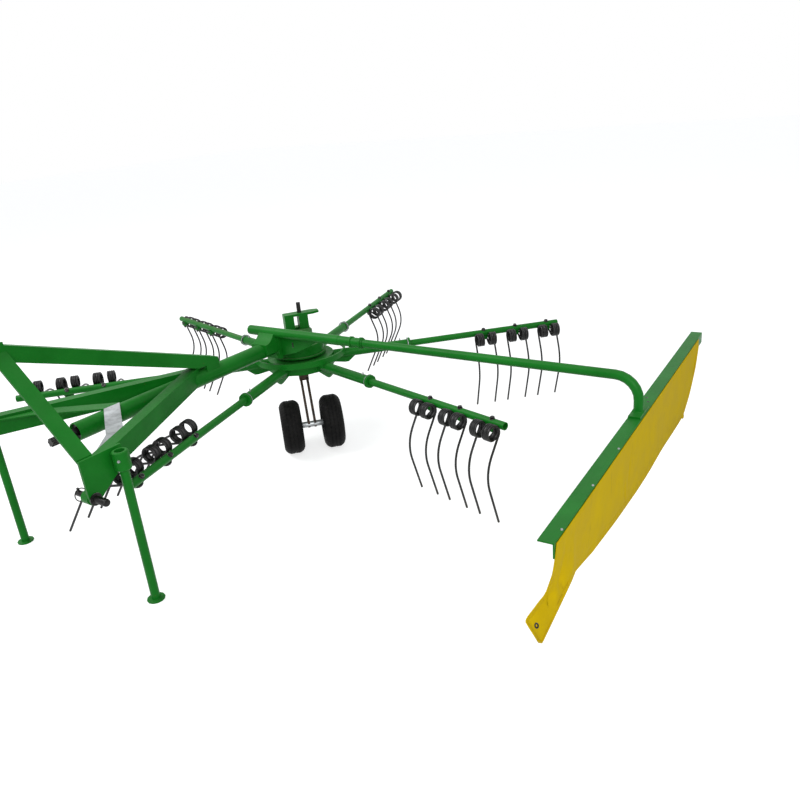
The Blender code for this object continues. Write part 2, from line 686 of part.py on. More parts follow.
# ================================================================ stands
def stand_socket():
    """Round socket outside the left hitch plate, with a thicker lip on top."""
    bore, outer = STAND_OD / 2 + RUN, STAND_OD / 2 + RUN + SOCKET_WALL
    low, lip = SOCKET_TOP - SOCKET_H, SOCKET_TOP - SOCKET_LIP
    return turned([(bore, low), (outer - SOCKET_LIP, low), (outer, low + SOCKET_LIP),
                   (outer, lip), (outer - SOCKET_LIP, SOCKET_TOP), (bore, SOCKET_TOP)],
                  sides=TUBE_SIDES, origin=(LEG_X, LEG_Y, 0))


def stand():
    """Leg and foot, on the leg's own axis, open at the top."""
    inner = STAND_OD / 2 - ARM_WALL
    return turned([(0, 0), (FOOT_R, 0), (FOOT_R, FOOT_T), (STAND_OD / 2, FOOT_T),
                   (STAND_OD / 2, STAND_TOP), (inner, STAND_TOP),
                   (inner, STAND_TOP - SOCKET_H), (0, STAND_TOP - SOCKET_H)],
                  sides=TUBE_SIDES)


# ================================================================ curtain
def sleeve():
    """Tube across the frame that the curtain's arm slides in, stepped down at its left end."""
    bore, wide, narrow = ARM_TUBE_OD / 2 + RUN, SLEEVE_OD / 2, CLAMP_TUBE_OD / 2
    profile = [(bore, SLEEVE_RIGHT), (wide, SLEEVE_RIGHT), (wide, SLEEVE_LEFT),
               (narrow, SLEEVE_LEFT)]
    for middle in CLAMP_RINGS:
        low = SLEEVE_LEFT + middle - CLAMP_RING_L / 2
        high = low + CLAMP_RING_L
        profile += [(narrow, low), (CLAMP_RING_OD / 2, low), (CLAMP_RING_OD / 2, high),
                    (narrow, high)]
    end = SLEEVE_LEFT + CLAMP_TUBE_L
    profile += [(narrow, end), (bore, end)]
    return turned(profile, axis="Y", sides=TUBE_SIDES, origin=(SLEEVE_X, 0, SLEEVE_Z))


def around_sleeve():
    """Cutter that seats a piece on the sleeve."""
    return rod((SLEEVE_X, SLEEVE_RIGHT - AIR, SLEEVE_Z), (SLEEVE_X, SLEEVE_LEFT, SLEEVE_Z),
               SLEEVE_OD + 2 * SEAT)


def sleeve_saddle():
    """Block in front of the flanges, curved from the sleeve down to the main tube's top."""
    rear, crown = FLANGE_X + FLANGE_T + 2 * SEAT, TUBE_Z + TUBE_OD / 2 + 2 * SEAT
    front, fall = SLEEVE_X + GUSSET_L, GUSSET_L - SLEEVE_OD / 2
    foot = TUBE_Z - SADDLE_DROP
    outline = [(rear, foot), (front, foot)]
    outline += [(front - fall * share, crown + (SLEEVE_Z - crown) * share ** GUSSET_CURVE)
                for share in (0, 0.3, 0.55, 0.8, 1)]
    outline += [(rear, SLEEVE_Z)]
    saddle = plate(outline, -SADDLE_W / 2, SADDLE_W / 2)
    return fused(saddle, cut=[around_sleeve(), around_tube(FLANGE_X, TUBE_FRONT_X)])


def sleeve_web():
    """Plate behind the flanges, its lower edge curved up to the sleeve."""
    outline = [(-WEB_RIGHT, SLEEVE_Z), (-WEB_FOOT, WEB_LOW_Z), (WEB_FOOT, WEB_LOW_Z)]
    outline += [(WEB_FOOT + (WEB_LEFT - WEB_FOOT) * share,
                 WEB_LOW_Z + (SLEEVE_Z - SLEEVE_OD / 2 - WEB_LOW_Z) * share ** WEB_CURVE)
                for share in (0.35, 0.7, 1.0)]
    outline += [(WEB_LEFT, SLEEVE_Z)]
    front = FLANGE_X - FLANGE_T - SEAT
    web = plate(outline, front - WEB_T, front, plane="YZ")
    return fused(web, cut=[around_sleeve(), around_tube(0, FLANGE_X)])


def curtain_tube():
    """Arm tube with its turned-down end and foot plate, from the sleeve's axis."""
    plate_x, plate_y, plate_t = FOOTPLATE
    bottom = ANGLE_TOP + SEAT + plate_t - SLEEVE_Z
    path = [(0, ARM_TUBE_INNER_Y, 0), (0, DROP_Y - BEND_R, 0)]
    path += [(0, y, z) for y, z in arc((DROP_Y - BEND_R, -BEND_R), BEND_R, 90, 0, 6)][1:]
    path.append((0, DROP_Y, bottom - plate_t / 2))
    tube = wire(path, ARM_TUBE_OD, sides=TUBE_SIDES)
    foot = block((-plate_x / 2, -plate_y / 2, 0), (plate_x / 2, plate_y / 2, plate_t))
    foot.transform(Matrix.Translation((0, DROP_Y, bottom - plate_t))
                   @ Matrix.Rotation(TOE_IN, 4, "Z"))
    return fused(tube, foot)


def curtain_angle():
    """Steel angle, its level leg on top and its upright leg outside, along X."""
    leg, thick = ANGLE_LEG, ANGLE_T
    outline = [(-leg / 2, 0), (leg / 2, 0), (leg / 2, -leg), (leg / 2 - thick, -leg),
               (leg / 2 - thick, -thick), (-leg / 2, -thick)]
    return plate(outline, ANGLE_SHIFT - ANGLE_L / 2, ANGLE_SHIFT + ANGLE_L / 2, plane="YZ")


def curtain_sheet():
    """Plain closed sheet behind the angle's upright leg."""
    outline = [(ANGLE_SHIFT + along, height - ANGLE_TOP) for along, height in SHEET_OUTLINE]
    face = ANGLE_LEG / 2 - ANGLE_T - SEAT
    return plate(outline, face - SHEET_T, face)


# ================================================================ caster and wheels
def caster_leg():
    """Post in the king post, head block, trailing fork and axle; the trail runs along +X."""
    post = rod((0, 0, CASTER_HEAD_Z), (0, 0, CASTER_POST_TOP), CASTER_POST_OD)
    long, wide, high = CASTER_HEAD
    head_block = block((-long / 2, -wide / 2, CASTER_HEAD_Z - high / 2),
                       (long / 2, wide / 2, CASTER_HEAD_Z + high / 2))
    reach = Vector((TRAIL, WHEEL_R - CASTER_HEAD_Z))
    along = reach.normalized()
    across = Vector((-along.y, along.x)) * FORK_W / 2
    head, foot = Vector((0, CASTER_HEAD_Z)), Vector((TRAIL, WHEEL_R))
    outline = [head - across, foot - across, foot + along * FORK_W / 2, foot + across,
               head + across]
    sides = []
    for side in (-1, 1):
        middle = side * FORK_GAP / 2
        sides.append(plate(outline, middle - FORK_T / 2, middle + FORK_T / 2))
    width = HALF_TRACK + TYRE_W / 2
    axle = rod((TRAIL, -width, WHEEL_R), (TRAIL, width, WHEEL_R), AXLE_OD)
    return fused(post, head_block, *sides, axle)


def tyre():
    """Small ribbed-road tyre about Y, round in the shoulders, centred on its middle plane."""
    half, bead = TYRE_W / 2, TYRE_W * 0.40
    wall, shoulder = WHEEL_R - RIM_R, TYRE_W * 0.25
    flank = [(RIM_R, bead), (RIM_R + wall * 0.14, half * 0.93), (RIM_R + wall * 0.5, half)]
    flank += [(WHEEL_R - shoulder * (1 - math.cos(turn)),
               half - shoulder + shoulder * math.sin(turn))
              for turn in (math.radians(75), math.radians(40), 0)]
    profile = [(radius, -y) for radius, y in flank] + flank[::-1]
    return turned(profile, axis="Y", sides=WHEEL_SIDES)


def rim():
    """Dished wheel with a welded hub."""
    half, bore = TYRE_W * 0.40, AXLE_OD / 2 + RUN
    edge, inner = RIM_R - SEAT, RIM_R - SEAT - RIM_WALL
    flank = [(bore, half), (HUB_R, half), (HUB_R, RIM_DISC / 2), (inner, RIM_DISC / 2),
             (inner, half), (edge, half)]
    profile = [(radius, -y) for radius, y in flank] + flank[::-1]
    return turned(profile, axis="Y", sides=WHEEL_SIDES)


# ================================================================ assembly
def build():
    clear_scene()
    green = paint("green_paint", (0.022, 0.170, 0.042), 0.38)
    black = paint("black_steel", (0.012, 0.012, 0.013), 0.45, 0.5)
    bare = paint("bare_steel", (0.45, 0.46, 0.46), 0.35, 0.9)
    rusty = paint("worn_steel", (0.20, 0.15, 0.11), 0.6, 0.6)
    rubber = paint("tyre_rubber", (0.018, 0.018, 0.019), 0.75)
    yellow = paint("curtain_yellow", (0.72, 0.50, 0.02), 0.55)

    machine = axis_point("machine")
    for label, mesh, material in (("side_beam", side_beam(), green), ("brace", brace(), green),
                                  ("upright", upright(), green),
                                  ("hitch_plate", hitch_plate(), green),
                                  ("lower_pin", lower_pin(), black),
                                  ("stand_socket", stand_socket(), green)):
        other = mirrored(mesh)
        placed(label + "_left", mesh, material, machine)
        placed(label + "_right", other, material, machine)
    for label, mesh, material in (("main_tube", main_tube(), green),
                                  ("top_beam", top_beam(), green),
                                  ("pto_bearing", pto_bearing(), bare),
                                  ("gear_housing", gear_housing(), green),
                                  ("jack_bracket", jack_bracket(), green),
                                  ("curtain_sleeve", sleeve(), green),
                                  ("sleeve_saddle", sleeve_saddle(), green),
                                  ("sleeve_web", sleeve_web(), green)):
        placed(label, mesh, material, machine)
    placed("jack_spindle", jack_spindle(), black, machine)

    shaft = placed("pto_shaft", pto_shaft(), black,
                   axis_point("pto_axis", (0, 0, TUBE_Z), parent=machine))
    shaft.location.z = -TUBE_Z

    rotor = axis_point("rotor_axis", (0, 0, ARM_Z), parent=machine)
    spider = placed("rotor_spider", rotor_spider(), green, rotor)
    spider.location.z = -ARM_Z
    arm = arm_mesh(green, black)
    for index, (name, roll) in enumerate(ARMS):
        azimuth = FIRST_ARM_AZIMUTH + index * 2 * math.pi / len(ARMS)
        direction = axis_point(name + "_direction", rotation=(0, 0, azimuth), parent=rotor)
        item = placed(name, arm, green, direction)
        item.rotation_euler.x = math.radians(roll)

    slide = axis_point("curtain_slide", (SLEEVE_X, 0, SLEEVE_Z), parent=machine)
    placed("curtain_tube", curtain_tube(), green, slide)
    hanger = axis_point("curtain_hanger", (0, DROP_Y, ANGLE_TOP - SLEEVE_Z), (0, 0, TOE_IN), slide)
    placed("curtain_angle", curtain_angle(), green, hanger)
    placed("curtain_sheet", curtain_sheet(), yellow, hanger)

    leg = stand()
    for name, side in (("stand_left", 1), ("stand_right", -1)):
        item = placed(name, leg, green, machine)
        item.location = (LEG_X, side * LEG_Y, 0)

    swivel = axis_point("caster_axis", (0, 0, 0), (0, 0, CASTER_AZIMUTH), machine)
    placed("caster_leg", caster_leg(), rusty, swivel)
    axle = axis_point("wheel_axis", (TRAIL, 0, WHEEL_R), parent=swivel)
    tread, disc = tyre(), rim()
    for name, side in (("left", 1), ("right", -1)):
        for label, mesh, material in (("tyre_", tread, rubber), ("rim_", disc, bare)):
            item = placed(label + name, mesh, material, axle)
            item.location.y = side * HALF_TRACK
    centre_over_origin(machine)


def centre_over_origin(machine):
    """Shift the machine so that its box stands on the origin, centred."""
    bpy.context.view_layer.update()
    corners = [item.matrix_world @ vertex.co
               for item in bpy.context.scene.objects if item.type == "MESH"
               for vertex in item.data.vertices]
    for k in (0, 1):
        values = [corner[k] for corner in corners]
        machine.location[k] = -(min(values) + max(values)) / 2
    machine.location[2] = -min(corner[2] for corner in corners)
    bpy.context.view_layer.update()


build()
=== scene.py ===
"""Looks of the rotary hay rake: finish of every surface, spring tines, hanging cloth, small fasteners.

Metres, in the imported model's frame: +X to the tractor, +Y to the curtain's side, +Z up.
"""
import json
import math

import bmesh
import bpy
from mathutils import Matrix, Vector


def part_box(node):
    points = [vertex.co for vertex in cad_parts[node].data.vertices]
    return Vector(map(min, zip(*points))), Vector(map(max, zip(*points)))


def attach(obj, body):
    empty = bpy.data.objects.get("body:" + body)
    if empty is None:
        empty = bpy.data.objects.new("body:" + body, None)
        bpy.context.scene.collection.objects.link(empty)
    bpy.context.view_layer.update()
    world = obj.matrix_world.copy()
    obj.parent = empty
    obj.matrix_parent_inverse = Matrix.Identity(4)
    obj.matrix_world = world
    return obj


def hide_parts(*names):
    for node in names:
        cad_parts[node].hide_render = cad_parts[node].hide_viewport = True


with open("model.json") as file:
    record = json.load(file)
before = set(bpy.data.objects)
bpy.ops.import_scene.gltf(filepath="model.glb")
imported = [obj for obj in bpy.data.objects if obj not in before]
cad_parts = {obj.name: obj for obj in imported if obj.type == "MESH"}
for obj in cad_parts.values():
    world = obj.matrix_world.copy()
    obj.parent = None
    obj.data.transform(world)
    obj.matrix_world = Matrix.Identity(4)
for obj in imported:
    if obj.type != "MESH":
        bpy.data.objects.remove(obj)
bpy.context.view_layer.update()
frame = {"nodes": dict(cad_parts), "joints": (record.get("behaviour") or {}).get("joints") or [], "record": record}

NODES = frame["nodes"]
SCENE = bpy.context.scene


# ================================================================ places, read from the frame
def centre(node):
    low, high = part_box(node)
    return (low + high) / 2


JOINTS = {joint["name"]: joint for joint in frame["joints"]}
HUB = Vector(JOINTS["rotor_spin"]["pos_m"][:2])      # the rotor's axis on the floor


# ================================================================ node-graph helpers
class Graph:
    """Short hand for building one material's node tree."""

    def __init__(self, name):
        self.material = bpy.data.materials.new(name)
        self.material.use_nodes = True
        self.tree = self.material.node_tree
        self.shader = self.tree.nodes["Principled BSDF"]
        self.output = self.tree.nodes["Material Output"]

    def node(self, kind, **settings):
        item = self.tree.nodes.new(kind)
        for key, value in settings.items():
            setattr(item, key, value)
        return item

    def link(self, source, target):
        self.tree.links.new(source, target)

    def put(self, socket, value):
        if isinstance(value, bpy.types.NodeSocket):
            self.link(value, socket)
        else:
            socket.default_value = value

    def place(self, scale=(1, 1, 1)):
        """Position on the object at rest, stretched by scale."""
        where = self.node("ShaderNodeTexCoord").outputs["Object"]
        mapping = self.node("ShaderNodeMapping")
        mapping.inputs["Scale"].default_value = scale
        self.link(where, mapping.inputs["Vector"])
        return mapping.outputs["Vector"]

    def noise(self, scale, detail=4.0, rough=0.55, vector=None, distortion=0.0):
        item = self.node("ShaderNodeTexNoise")
        self.put(item.inputs["Vector"], vector or self.place())
        item.inputs["Scale"].default_value = scale
        item.inputs["Detail"].default_value = detail
        item.inputs["Roughness"].default_value = rough
        item.inputs["Distortion"].default_value = distortion
        return item.outputs["Fac"]

    def span(self, value, low, high, to_low=0.0, to_high=1.0):
        """The value between low and high, spread to between to_low and to_high, clamped."""
        item = self.node("ShaderNodeMapRange", clamp=True)
        self.put(item.inputs["Value"], value)
        for key, number in (("From Min", low), ("From Max", high),
                            ("To Min", to_low), ("To Max", to_high)):
            item.inputs[key].default_value = number
        return item.outputs["Result"]

    def math(self, operation, first, second=0.0):
        item = self.node("ShaderNodeMath", operation=operation)
        self.put(item.inputs[0], first)
        self.put(item.inputs[1], second)
        return item.outputs[0]

    def mix(self, share, first, second):
        """Colour between first and second."""
        item = self.node("ShaderNodeMix", data_type="RGBA")
        self.put(item.inputs["Factor"], share)
        for socket, value in ((item.inputs[6], first), (item.inputs[7], second)):
            self.put(socket, value if isinstance(value, bpy.types.NodeSocket) else (*value, 1.0))
        return item.outputs[2]

    def upward(self):
        """How far a face looks up, from -1 to 1."""
        normal = self.node("ShaderNodeNewGeometry").outputs["Normal"]
        parts = self.node("ShaderNodeSeparateXYZ")
        self.link(normal, parts.inputs[0])
        return parts.outputs["Z"]

    def height(self):
        parts = self.node("ShaderNodeSeparateXYZ")
        self.link(self.place(), parts.inputs[0])
        return parts.outputs["Z"]

    def edges(self, radius):
        """1 along worn outer edges, 0 on flat faces."""
        soft = self.node("ShaderNodeBevel", samples=6)
        soft.inputs["Radius"].default_value = radius
        hard = self.node("ShaderNodeNewGeometry")
        dot = self.node("ShaderNodeVectorMath", operation="DOT_PRODUCT")
        self.link(soft.outputs[0], dot.inputs[0])
        self.link(hard.outputs["Normal"], dot.inputs[1])
        return self.span(dot.outputs["Value"], 0.99, 0.86)

    def bump(self, value, distance, strength=1.0, normal=None):
        item = self.node("ShaderNodeBump")
        item.inputs["Strength"].default_value = strength
        item.inputs["Distance"].default_value = distance
        self.put(item.inputs["Height"], value)
        if normal:
            self.link(normal, item.inputs["Normal"])
        return item.outputs[0]

    def finish(self, colour, rough, normal=None, metallic=0.0, **sockets):
        self.put(self.shader.inputs["Base Color"],
                 colour if isinstance(colour, bpy.types.NodeSocket) else (*colour, 1.0))
        self.put(self.shader.inputs["Roughness"], rough)
        self.put(self.shader.inputs["Metallic"], metallic)
        if normal:
            self.link(normal, self.shader.inputs["Normal"])
        for key, value in sockets.items():
            self.shader.inputs[key.replace("_", " ")].default_value = value
        return self.material


# ================================================================ materials
RUST = (0.135, 0.052, 0.022)
DARK_RUST = (0.055, 0.024, 0.014)
# pale grey-green that up-facing paint turns to: real dust and a painted sheen
DUST_SHEEN_TONE = (0.15, 0.205, 0.12)
BARE = (0.42, 0.44, 0.45)


def green_paint(name="green_enamel", dust=0.10, wear=0.35):
    """Sprayed green enamel: slightly rippled, dusty and with a painted sheen on top, chipped to dark rust on
    edges.
    """
    g = Graph(name)
    patch = g.noise(5.0, 5.0, 0.6)
    fine = g.noise(90.0, 3.0, 0.6)
    base = g.mix(g.span(patch, 0.35, 0.68), (0.0034, 0.142, 0.0090), (0.0078, 0.186, 0.0150))
    # up-facing faces paled by the dust share: partly dust, partly a painted sheen
    dust_and_sheen_mask = g.math("MULTIPLY", g.span(g.upward(), 0.35, 0.95, 0.0, dust),
                     g.span(g.noise(13.0, 6.0, 0.65), 0.30, 0.70, 0.35, 1.0))
    base = g.mix(dust_and_sheen_mask, base, DUST_SHEEN_TONE)
    chips = g.math("MULTIPLY", g.edges(0.003), g.span(g.noise(60.0, 4.0, 0.7), 0.50, 0.60))
    chips = g.math("MULTIPLY", chips, wear * 0.4)
    scuffs = g.span(g.noise(24.0, 8.0, 0.72), 0.68, 0.72, 0.0, wear)
    bare = g.math("MAXIMUM", chips, scuffs)
    colour = g.mix(bare, base, RUST)
    rough = g.math("ADD", g.span(fine, 0.3, 0.7, 0.32, 0.44), g.math("MULTIPLY", dust_and_sheen_mask, 0.9))
    rough = g.math("MAXIMUM", rough, g.math("MULTIPLY", bare, 0.75))
    ripple = g.bump(g.noise(150.0, 2.0), 0.0004, 0.5)
    normal = g.bump(bare, -0.0004, 0.8, ripple)
    return g.finish(colour, rough, normal, Specular_IOR_Level=0.12)


def black_oxide():
    """Blackened steel: greasy and dark, scuffed to grey on its edges."""
    g = Graph("black_oxide")
    cloud = g.noise(30.0, 5.0, 0.6)
    base = g.mix(g.span(cloud, 0.35, 0.7), (0.0060, 0.0060, 0.0065), (0.018, 0.017, 0.016))
    worn = g.math("MULTIPLY", g.edges(0.002), g.span(g.noise(80.0, 3.0), 0.42, 0.60))
    rust = g.span(g.noise(45.0, 6.0, 0.7), 0.60, 0.70, 0.0, 0.6)
    colour = g.mix(rust, g.mix(worn, base, (0.30, 0.29, 0.28)), DARK_RUST)
    rough = g.span(cloud, 0.3, 0.7, 0.30, 0.55)
    return g.finish(colour, rough, g.bump(g.noise(220.0, 3.0), 0.0003, 0.4), metallic=0.55)


def spring_steel():
    """Oil-blackened spring wire, rubbed a little lighter near the fingers' tips."""
    g = Graph("spring_steel")
    cloud = g.noise(70.0, 4.0, 0.6)
    base = g.mix(g.span(cloud, 0.35, 0.7), (0.0030, 0.0032, 0.0035), (0.0080, 0.0080, 0.0085))
    rubbed = g.math("MULTIPLY", g.span(g.height(), 0.10, 0.03),
                    g.span(g.noise(160.0, 4.0), 0.35, 0.65, 0.2, 0.9))
    colour = g.mix(rubbed, base, (0.050, 0.042, 0.034))
    return g.finish(colour, g.span(cloud, 0.3, 0.7, 0.30, 0.45),
                    g.bump(g.noise(320.0, 3.0), 0.0001, 0.4), Specular_IOR_Level=0.35)


def worn_steel():
    """Old paint over brown rust, greasy in places."""
    g = Graph("worn_steel")
    patch = g.noise(38.0, 8.0, 0.68)
    base = g.mix(g.span(patch, 0.40, 0.60), (0.018, 0.014, 0.012), (0.085, 0.050, 0.032))
    worn = g.math("MULTIPLY", g.edges(0.002), g.span(g.noise(70.0, 3.0), 0.40, 0.60))
    colour = g.mix(worn, base, (0.24, 0.22, 0.20))
    rough = g.span(patch, 0.3, 0.7, 0.42, 0.80)
    return g.finish(colour, rough, g.bump(patch, 0.0008, 0.6), metallic=0.35)


def bare_metal(name="bare_metal", tone=BARE, grain=0.0003):
    """Machined or galvanised steel, brushed, with grey spots."""
    g = Graph(name)
    cloud = g.noise(22.0, 6.0, 0.65)
    base = g.mix(g.span(cloud, 0.35, 0.68), tone, tuple(part * 0.55 for part in tone))
    stain = g.span(g.noise(48.0, 6.0, 0.7), 0.62, 0.72, 0.0, 0.7)
    colour = g.mix(stain, base, (0.16, 0.10, 0.06))
    rough = g.span(cloud, 0.3, 0.7, 0.28, 0.48)
    return g.finish(colour, rough, g.bump(g.noise(180.0, 4.0, vector=g.place((1, 6, 6))),
                                          grain, 0.4), metallic=0.85)


def tyre_rubber():
    """Dusty black rubber, greyer on the tread and in the mould lines."""
    g = Graph("tyre_rubber")
    patch = g.noise(26.0, 7.0, 0.66)
    fine = g.noise(190.0, 3.0, 0.6)
    base = g.mix(g.span(patch, 0.35, 0.70), (0.0030, 0.0030, 0.0032), (0.0080, 0.0078, 0.0076))
    dust = g.math("MULTIPLY", g.span(g.noise(75.0, 5.0, 0.7), 0.48, 0.66, 0.0, 0.20),
                  g.span(g.upward(), -0.6, 0.9, 0.4, 1.0))
    colour = g.mix(dust, base, (0.045, 0.042, 0.038))
    rough = g.span(fine, 0.3, 0.7, 0.50, 0.72)
    return g.finish(colour, rough, g.bump(fine, 0.0004, 0.4), Specular_IOR_Level=0.10)


def coated_cloth():
    """Yellow plastic-coated cloth: fine weave under the coating, creased and soiled."""
    g = Graph("coated_cloth")
    patch = g.noise(7.0, 7.0, 0.62)
    base = g.mix(g.span(patch, 0.32, 0.70), (0.620, 0.425, 0.0012), (0.710, 0.500, 0.0025))
    low_soil = g.math("MULTIPLY", g.span(g.height(), 0.30, 0.16),
                      g.span(g.noise(26.0, 7.0, 0.7), 0.42, 0.66, 0.0, 0.5))
    streaks = g.span(g.noise(10.0, 6.0, 0.7, vector=g.place((4, 4, 0.7))), 0.60, 0.74, 0.0, 0.35)
    soil = g.math("MAXIMUM", low_soil, streaks)
    colour = g.mix(soil, base, (0.24, 0.14, 0.02))
    weave = []
    for stretch in ((1, 1, 0.0), (0.0, 0.0, 1)):
        wave = g.node("ShaderNodeTexWave", wave_type="BANDS", bands_direction="DIAGONAL")
        g.link(g.place(stretch), wave.inputs["Vector"])
        wave.inputs["Scale"].default_value = 160.0
        weave.append(wave.outputs["Fac"])
    threads = g.bump(g.math("MULTIPLY", *weave), 0.0001, 0.2)
    crinkle = g.bump(g.noise(34.0, 6.0, 0.6), 0.0022, 0.55, threads)
    rough = g.span(patch, 0.3, 0.7, 0.62, 0.78)
    return g.finish(colour, rough, crinkle, Specular_IOR_Level=0.08)


GREEN = green_paint()
# much paler up-facing faces: dust and a painted sheen
DUSTY_SHEEN_GREEN = green_paint("dusty_sheen_enamel", dust=0.62)
OXIDE = black_oxide()
SPRING = spring_steel()
WORN = worn_steel()
METAL = bare_metal()
# pale bare plate that also carries a painted reflection
BRIGHT_REFLECTION_METAL = bare_metal("bright_reflection_plate", (0.60, 0.63, 0.65), 0.0001)
RUBBER = tyre_rubber()
CLOTH = coated_cloth()


def dress(node, material):
    """Gives a CAD node its finish."""
    item = NODES[node]
    item.data.materials.clear()
    item.data.materials.append(material)


def finish_of(node):
    slot = {s["node"]: s["material_slot"] for s in frame["record"]["subparts"]}[node]
    return {"green_paint": GREEN, "tine_arm_paint": GREEN, "dark_steel": OXIDE,
            "worn_steel": WORN, "wheel_rim": METAL, "tyre_rubber": RUBBER,
            "curtain_sheet": CLOTH}[slot]


# ================================================================ rounding the solids
SHARP = math.radians(32)


def smooth_rounds():
    """Node group that joins a faceted mesh's corners and keeps only its real edges sharp."""
    tree = bpy.data.node_groups.new("smooth_rounds", "GeometryNodeTree")
    for way in ("INPUT", "OUTPUT"):
        tree.interface.new_socket("Geometry", in_out=way, socket_type="NodeSocketGeometry")
    start, weld, normals, angle, sharp, end = (
        tree.nodes.new(kind) for kind in (
            "NodeGroupInput", "GeometryNodeMergeByDistance", "GeometryNodeSetMeshNormal",
            "GeometryNodeInputMeshEdgeAngle", "FunctionNodeCompare", "NodeGroupOutput"))
    weld.inputs["Distance"].default_value = 0.00002
    sharp.operation = "GREATER_THAN"
    sharp.inputs["B"].default_value = SHARP
    normals.inputs["Remove Custom"].default_value = True
    for source, target in ((start.outputs[0], weld.inputs["Geometry"]),
                           (weld.outputs[0], normals.inputs["Mesh"]),
                           (angle.outputs["Unsigned Angle"], sharp.inputs["A"]),
                           (sharp.outputs[0], normals.inputs["Edge Sharpness"]),
                           (normals.outputs[0], end.inputs[0])):
        tree.links.new(source, target)
    return tree


def soften(node, group, width=0.0012):
    """Shades a solid's round faces smooth and rounds its edges, by modifiers alone."""
    item = NODES[node]
    item.modifiers.new("smooth", "NODES").node_group = group
    bevel = item.modifiers.new("edges", "BEVEL")
    bevel.width, bevel.segments, bevel.angle_limit = width, 2, SHARP
    bevel.harden_normals = True


# ================================================================ shapes
def clamped(value):
    """The value, kept between 0 and 1."""
    return max(0.0, min(1.0, value))


def piece(name, bm, material, body, replaces=(), bevel=0.0, place=None):
    """New piece from a bmesh, riding on a body, with its round faces smooth."""
    if place:
        bm.transform(place)
    bmesh.ops.recalc_face_normals(bm, faces=bm.faces)
    mesh = bpy.data.meshes.new(name)
    bm.to_mesh(mesh)
    bm.free()
    mesh.shade_smooth()
    mesh.set_sharp_from_angle(angle=SHARP)
    mesh.materials.append(material)
    item = bpy.data.objects.new(name, mesh)
    SCENE.collection.objects.link(item)
    if bevel:
        edges = item.modifiers.new("edges", "BEVEL")
        edges.width, edges.segments, edges.angle_limit = bevel, 2, SHARP
        edges.harden_normals = True
    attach(item, body)
    if replaces:
        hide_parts(*replaces)
    return item


def lathe(bm, profile, place=Matrix(), sides=48):
    """Solid turned about Z from a closed outline of (radius, height)."""
    rings = []
    for radius, level in profile:
        if radius < 1e-6:
            rings.append([bm.verts.new(place @ Vector((0, 0, level)))] * sides)
            continue
        rings.append([bm.verts.new(place @ Vector((radius * math.cos(turn),
                                                   radius * math.sin(turn), level)))
                      for turn in (2 * math.pi * k / sides for k in range(sides))])
    closed = profile[0][0] > 1e-6
    pairs = list(zip(rings, rings[1:])) + ([(rings[-1], rings[0])] if closed else [])
    for near, far in pairs:
        for k in range(sides):
            corners = []
            for vert in (near[k], near[(k + 1) % sides], far[(k + 1) % sides], far[k]):
                if vert not in corners:
                    corners.append(vert)
            if len(corners) > 2:
                bm.faces.new(corners)


def sweep(bm, points, radius, sides=12, place=Matrix(), bore=0.0, closed=False):
    """Round bar, or tube with a bore, along a path."""
    path = [Vector(point) for point in points]
    count = len(path)
    tangents = []
    for k in range(count):
        ahead = path[(k + 1) % count if closed else min(k + 1, count - 1)]
        behind = path[k - 1 if closed or k else 0]
        tangents.append((ahead - behind).normalized())
    side = tangents[0].orthogonal().normalized()
    outer, inner = [], []
    for k, (middle, along) in enumerate(zip(path, tangents)):
        if k:
            side = tangents[k - 1].rotation_difference(along) @ side
        other = along.cross(side)
        for group, reach in ((outer, radius), (inner, bore)):
            if reach:
                group.append([bm.verts.new(place @ (middle + (side * math.cos(turn)
                                                              + other * math.sin(turn)) * reach))
                              for turn in (2 * math.pi * j / sides for j in range(sides))])
    for group in (outer, inner):
        rings = list(zip(group, group[1:]))
        if closed and group:
            rings.append((group[-1], group[0]))
        for near, far in rings:
            for j in range(sides):
                bm.faces.new((near[j], near[(j + 1) % sides], far[(j + 1) % sides], far[j]))
    if closed:
        return
    for end in (0, -1):
        if not inner:
            bm.faces.new(outer[end])
            continue
        for j in range(sides):
            bm.faces.new((outer[end][j], outer[end][(j + 1) % sides],
                          inner[end][(j + 1) % sides], inner[end][j]))


def prism(bm, outline, low, high, place=Matrix()):
    """Flat outline in X and Y, from low to high along Z."""
    lower, upper = ([bm.verts.new(place @ Vector((x, y, level))) for x, y in outline]
                    for level in (low, high))
    bm.faces.new(lower)
    bm.faces.new(upper)
    count = len(outline)
    for k in range(count):
        bm.faces.new((lower[k], lower[(k + 1) % count], upper[(k + 1) % count], upper[k]))


def facing(place, direction, turn=0.0):
    """Matrix that stands something on a place, its +Z along a direction."""
    spin = Vector((0, 0, 1)).rotation_difference(Vector(direction)).to_matrix().to_4x4()
    return Matrix.Translation(place) @ spin @ Matrix.Rotation(turn, 4, "Z")


def hexagon(across):
    return [(across / math.sqrt(3) * math.cos(turn), across / math.sqrt(3) * math.sin(turn))
            for turn in (math.pi / 3 * k for k in range(6))]


def bolt_head(bm, place, direction, thread=0.010, turn=0.3, stud=0.0):
    """Washer and hexagon head; with a stud, a nut with the thread's end standing out."""
    here = facing(place, direction, turn)
    washer, across, high = thread * 0.2, thread * 1.6, thread * 0.7
    lathe(bm, [(0, 0), (thread * 1.05, 0), (thread * 1.05, washer * 0.8),
               (thread * 0.95, washer), (0, washer)], here, 20)
    prism(bm, hexagon(across), washer, washer + high * 0.86, here)
    lathe(bm, [(0, washer + high * 0.8), (across * 0.50, washer + high * 0.8),
               (across * 0.44, washer + high), (0, washer + high)], here, 20)
    if stud:
        top = washer + high + stud
        lathe(bm, [(0, 0), (thread / 2, 0), (thread / 2, top - thread * 0.1),
                   (thread * 0.4, top), (0, top)], here, 14)


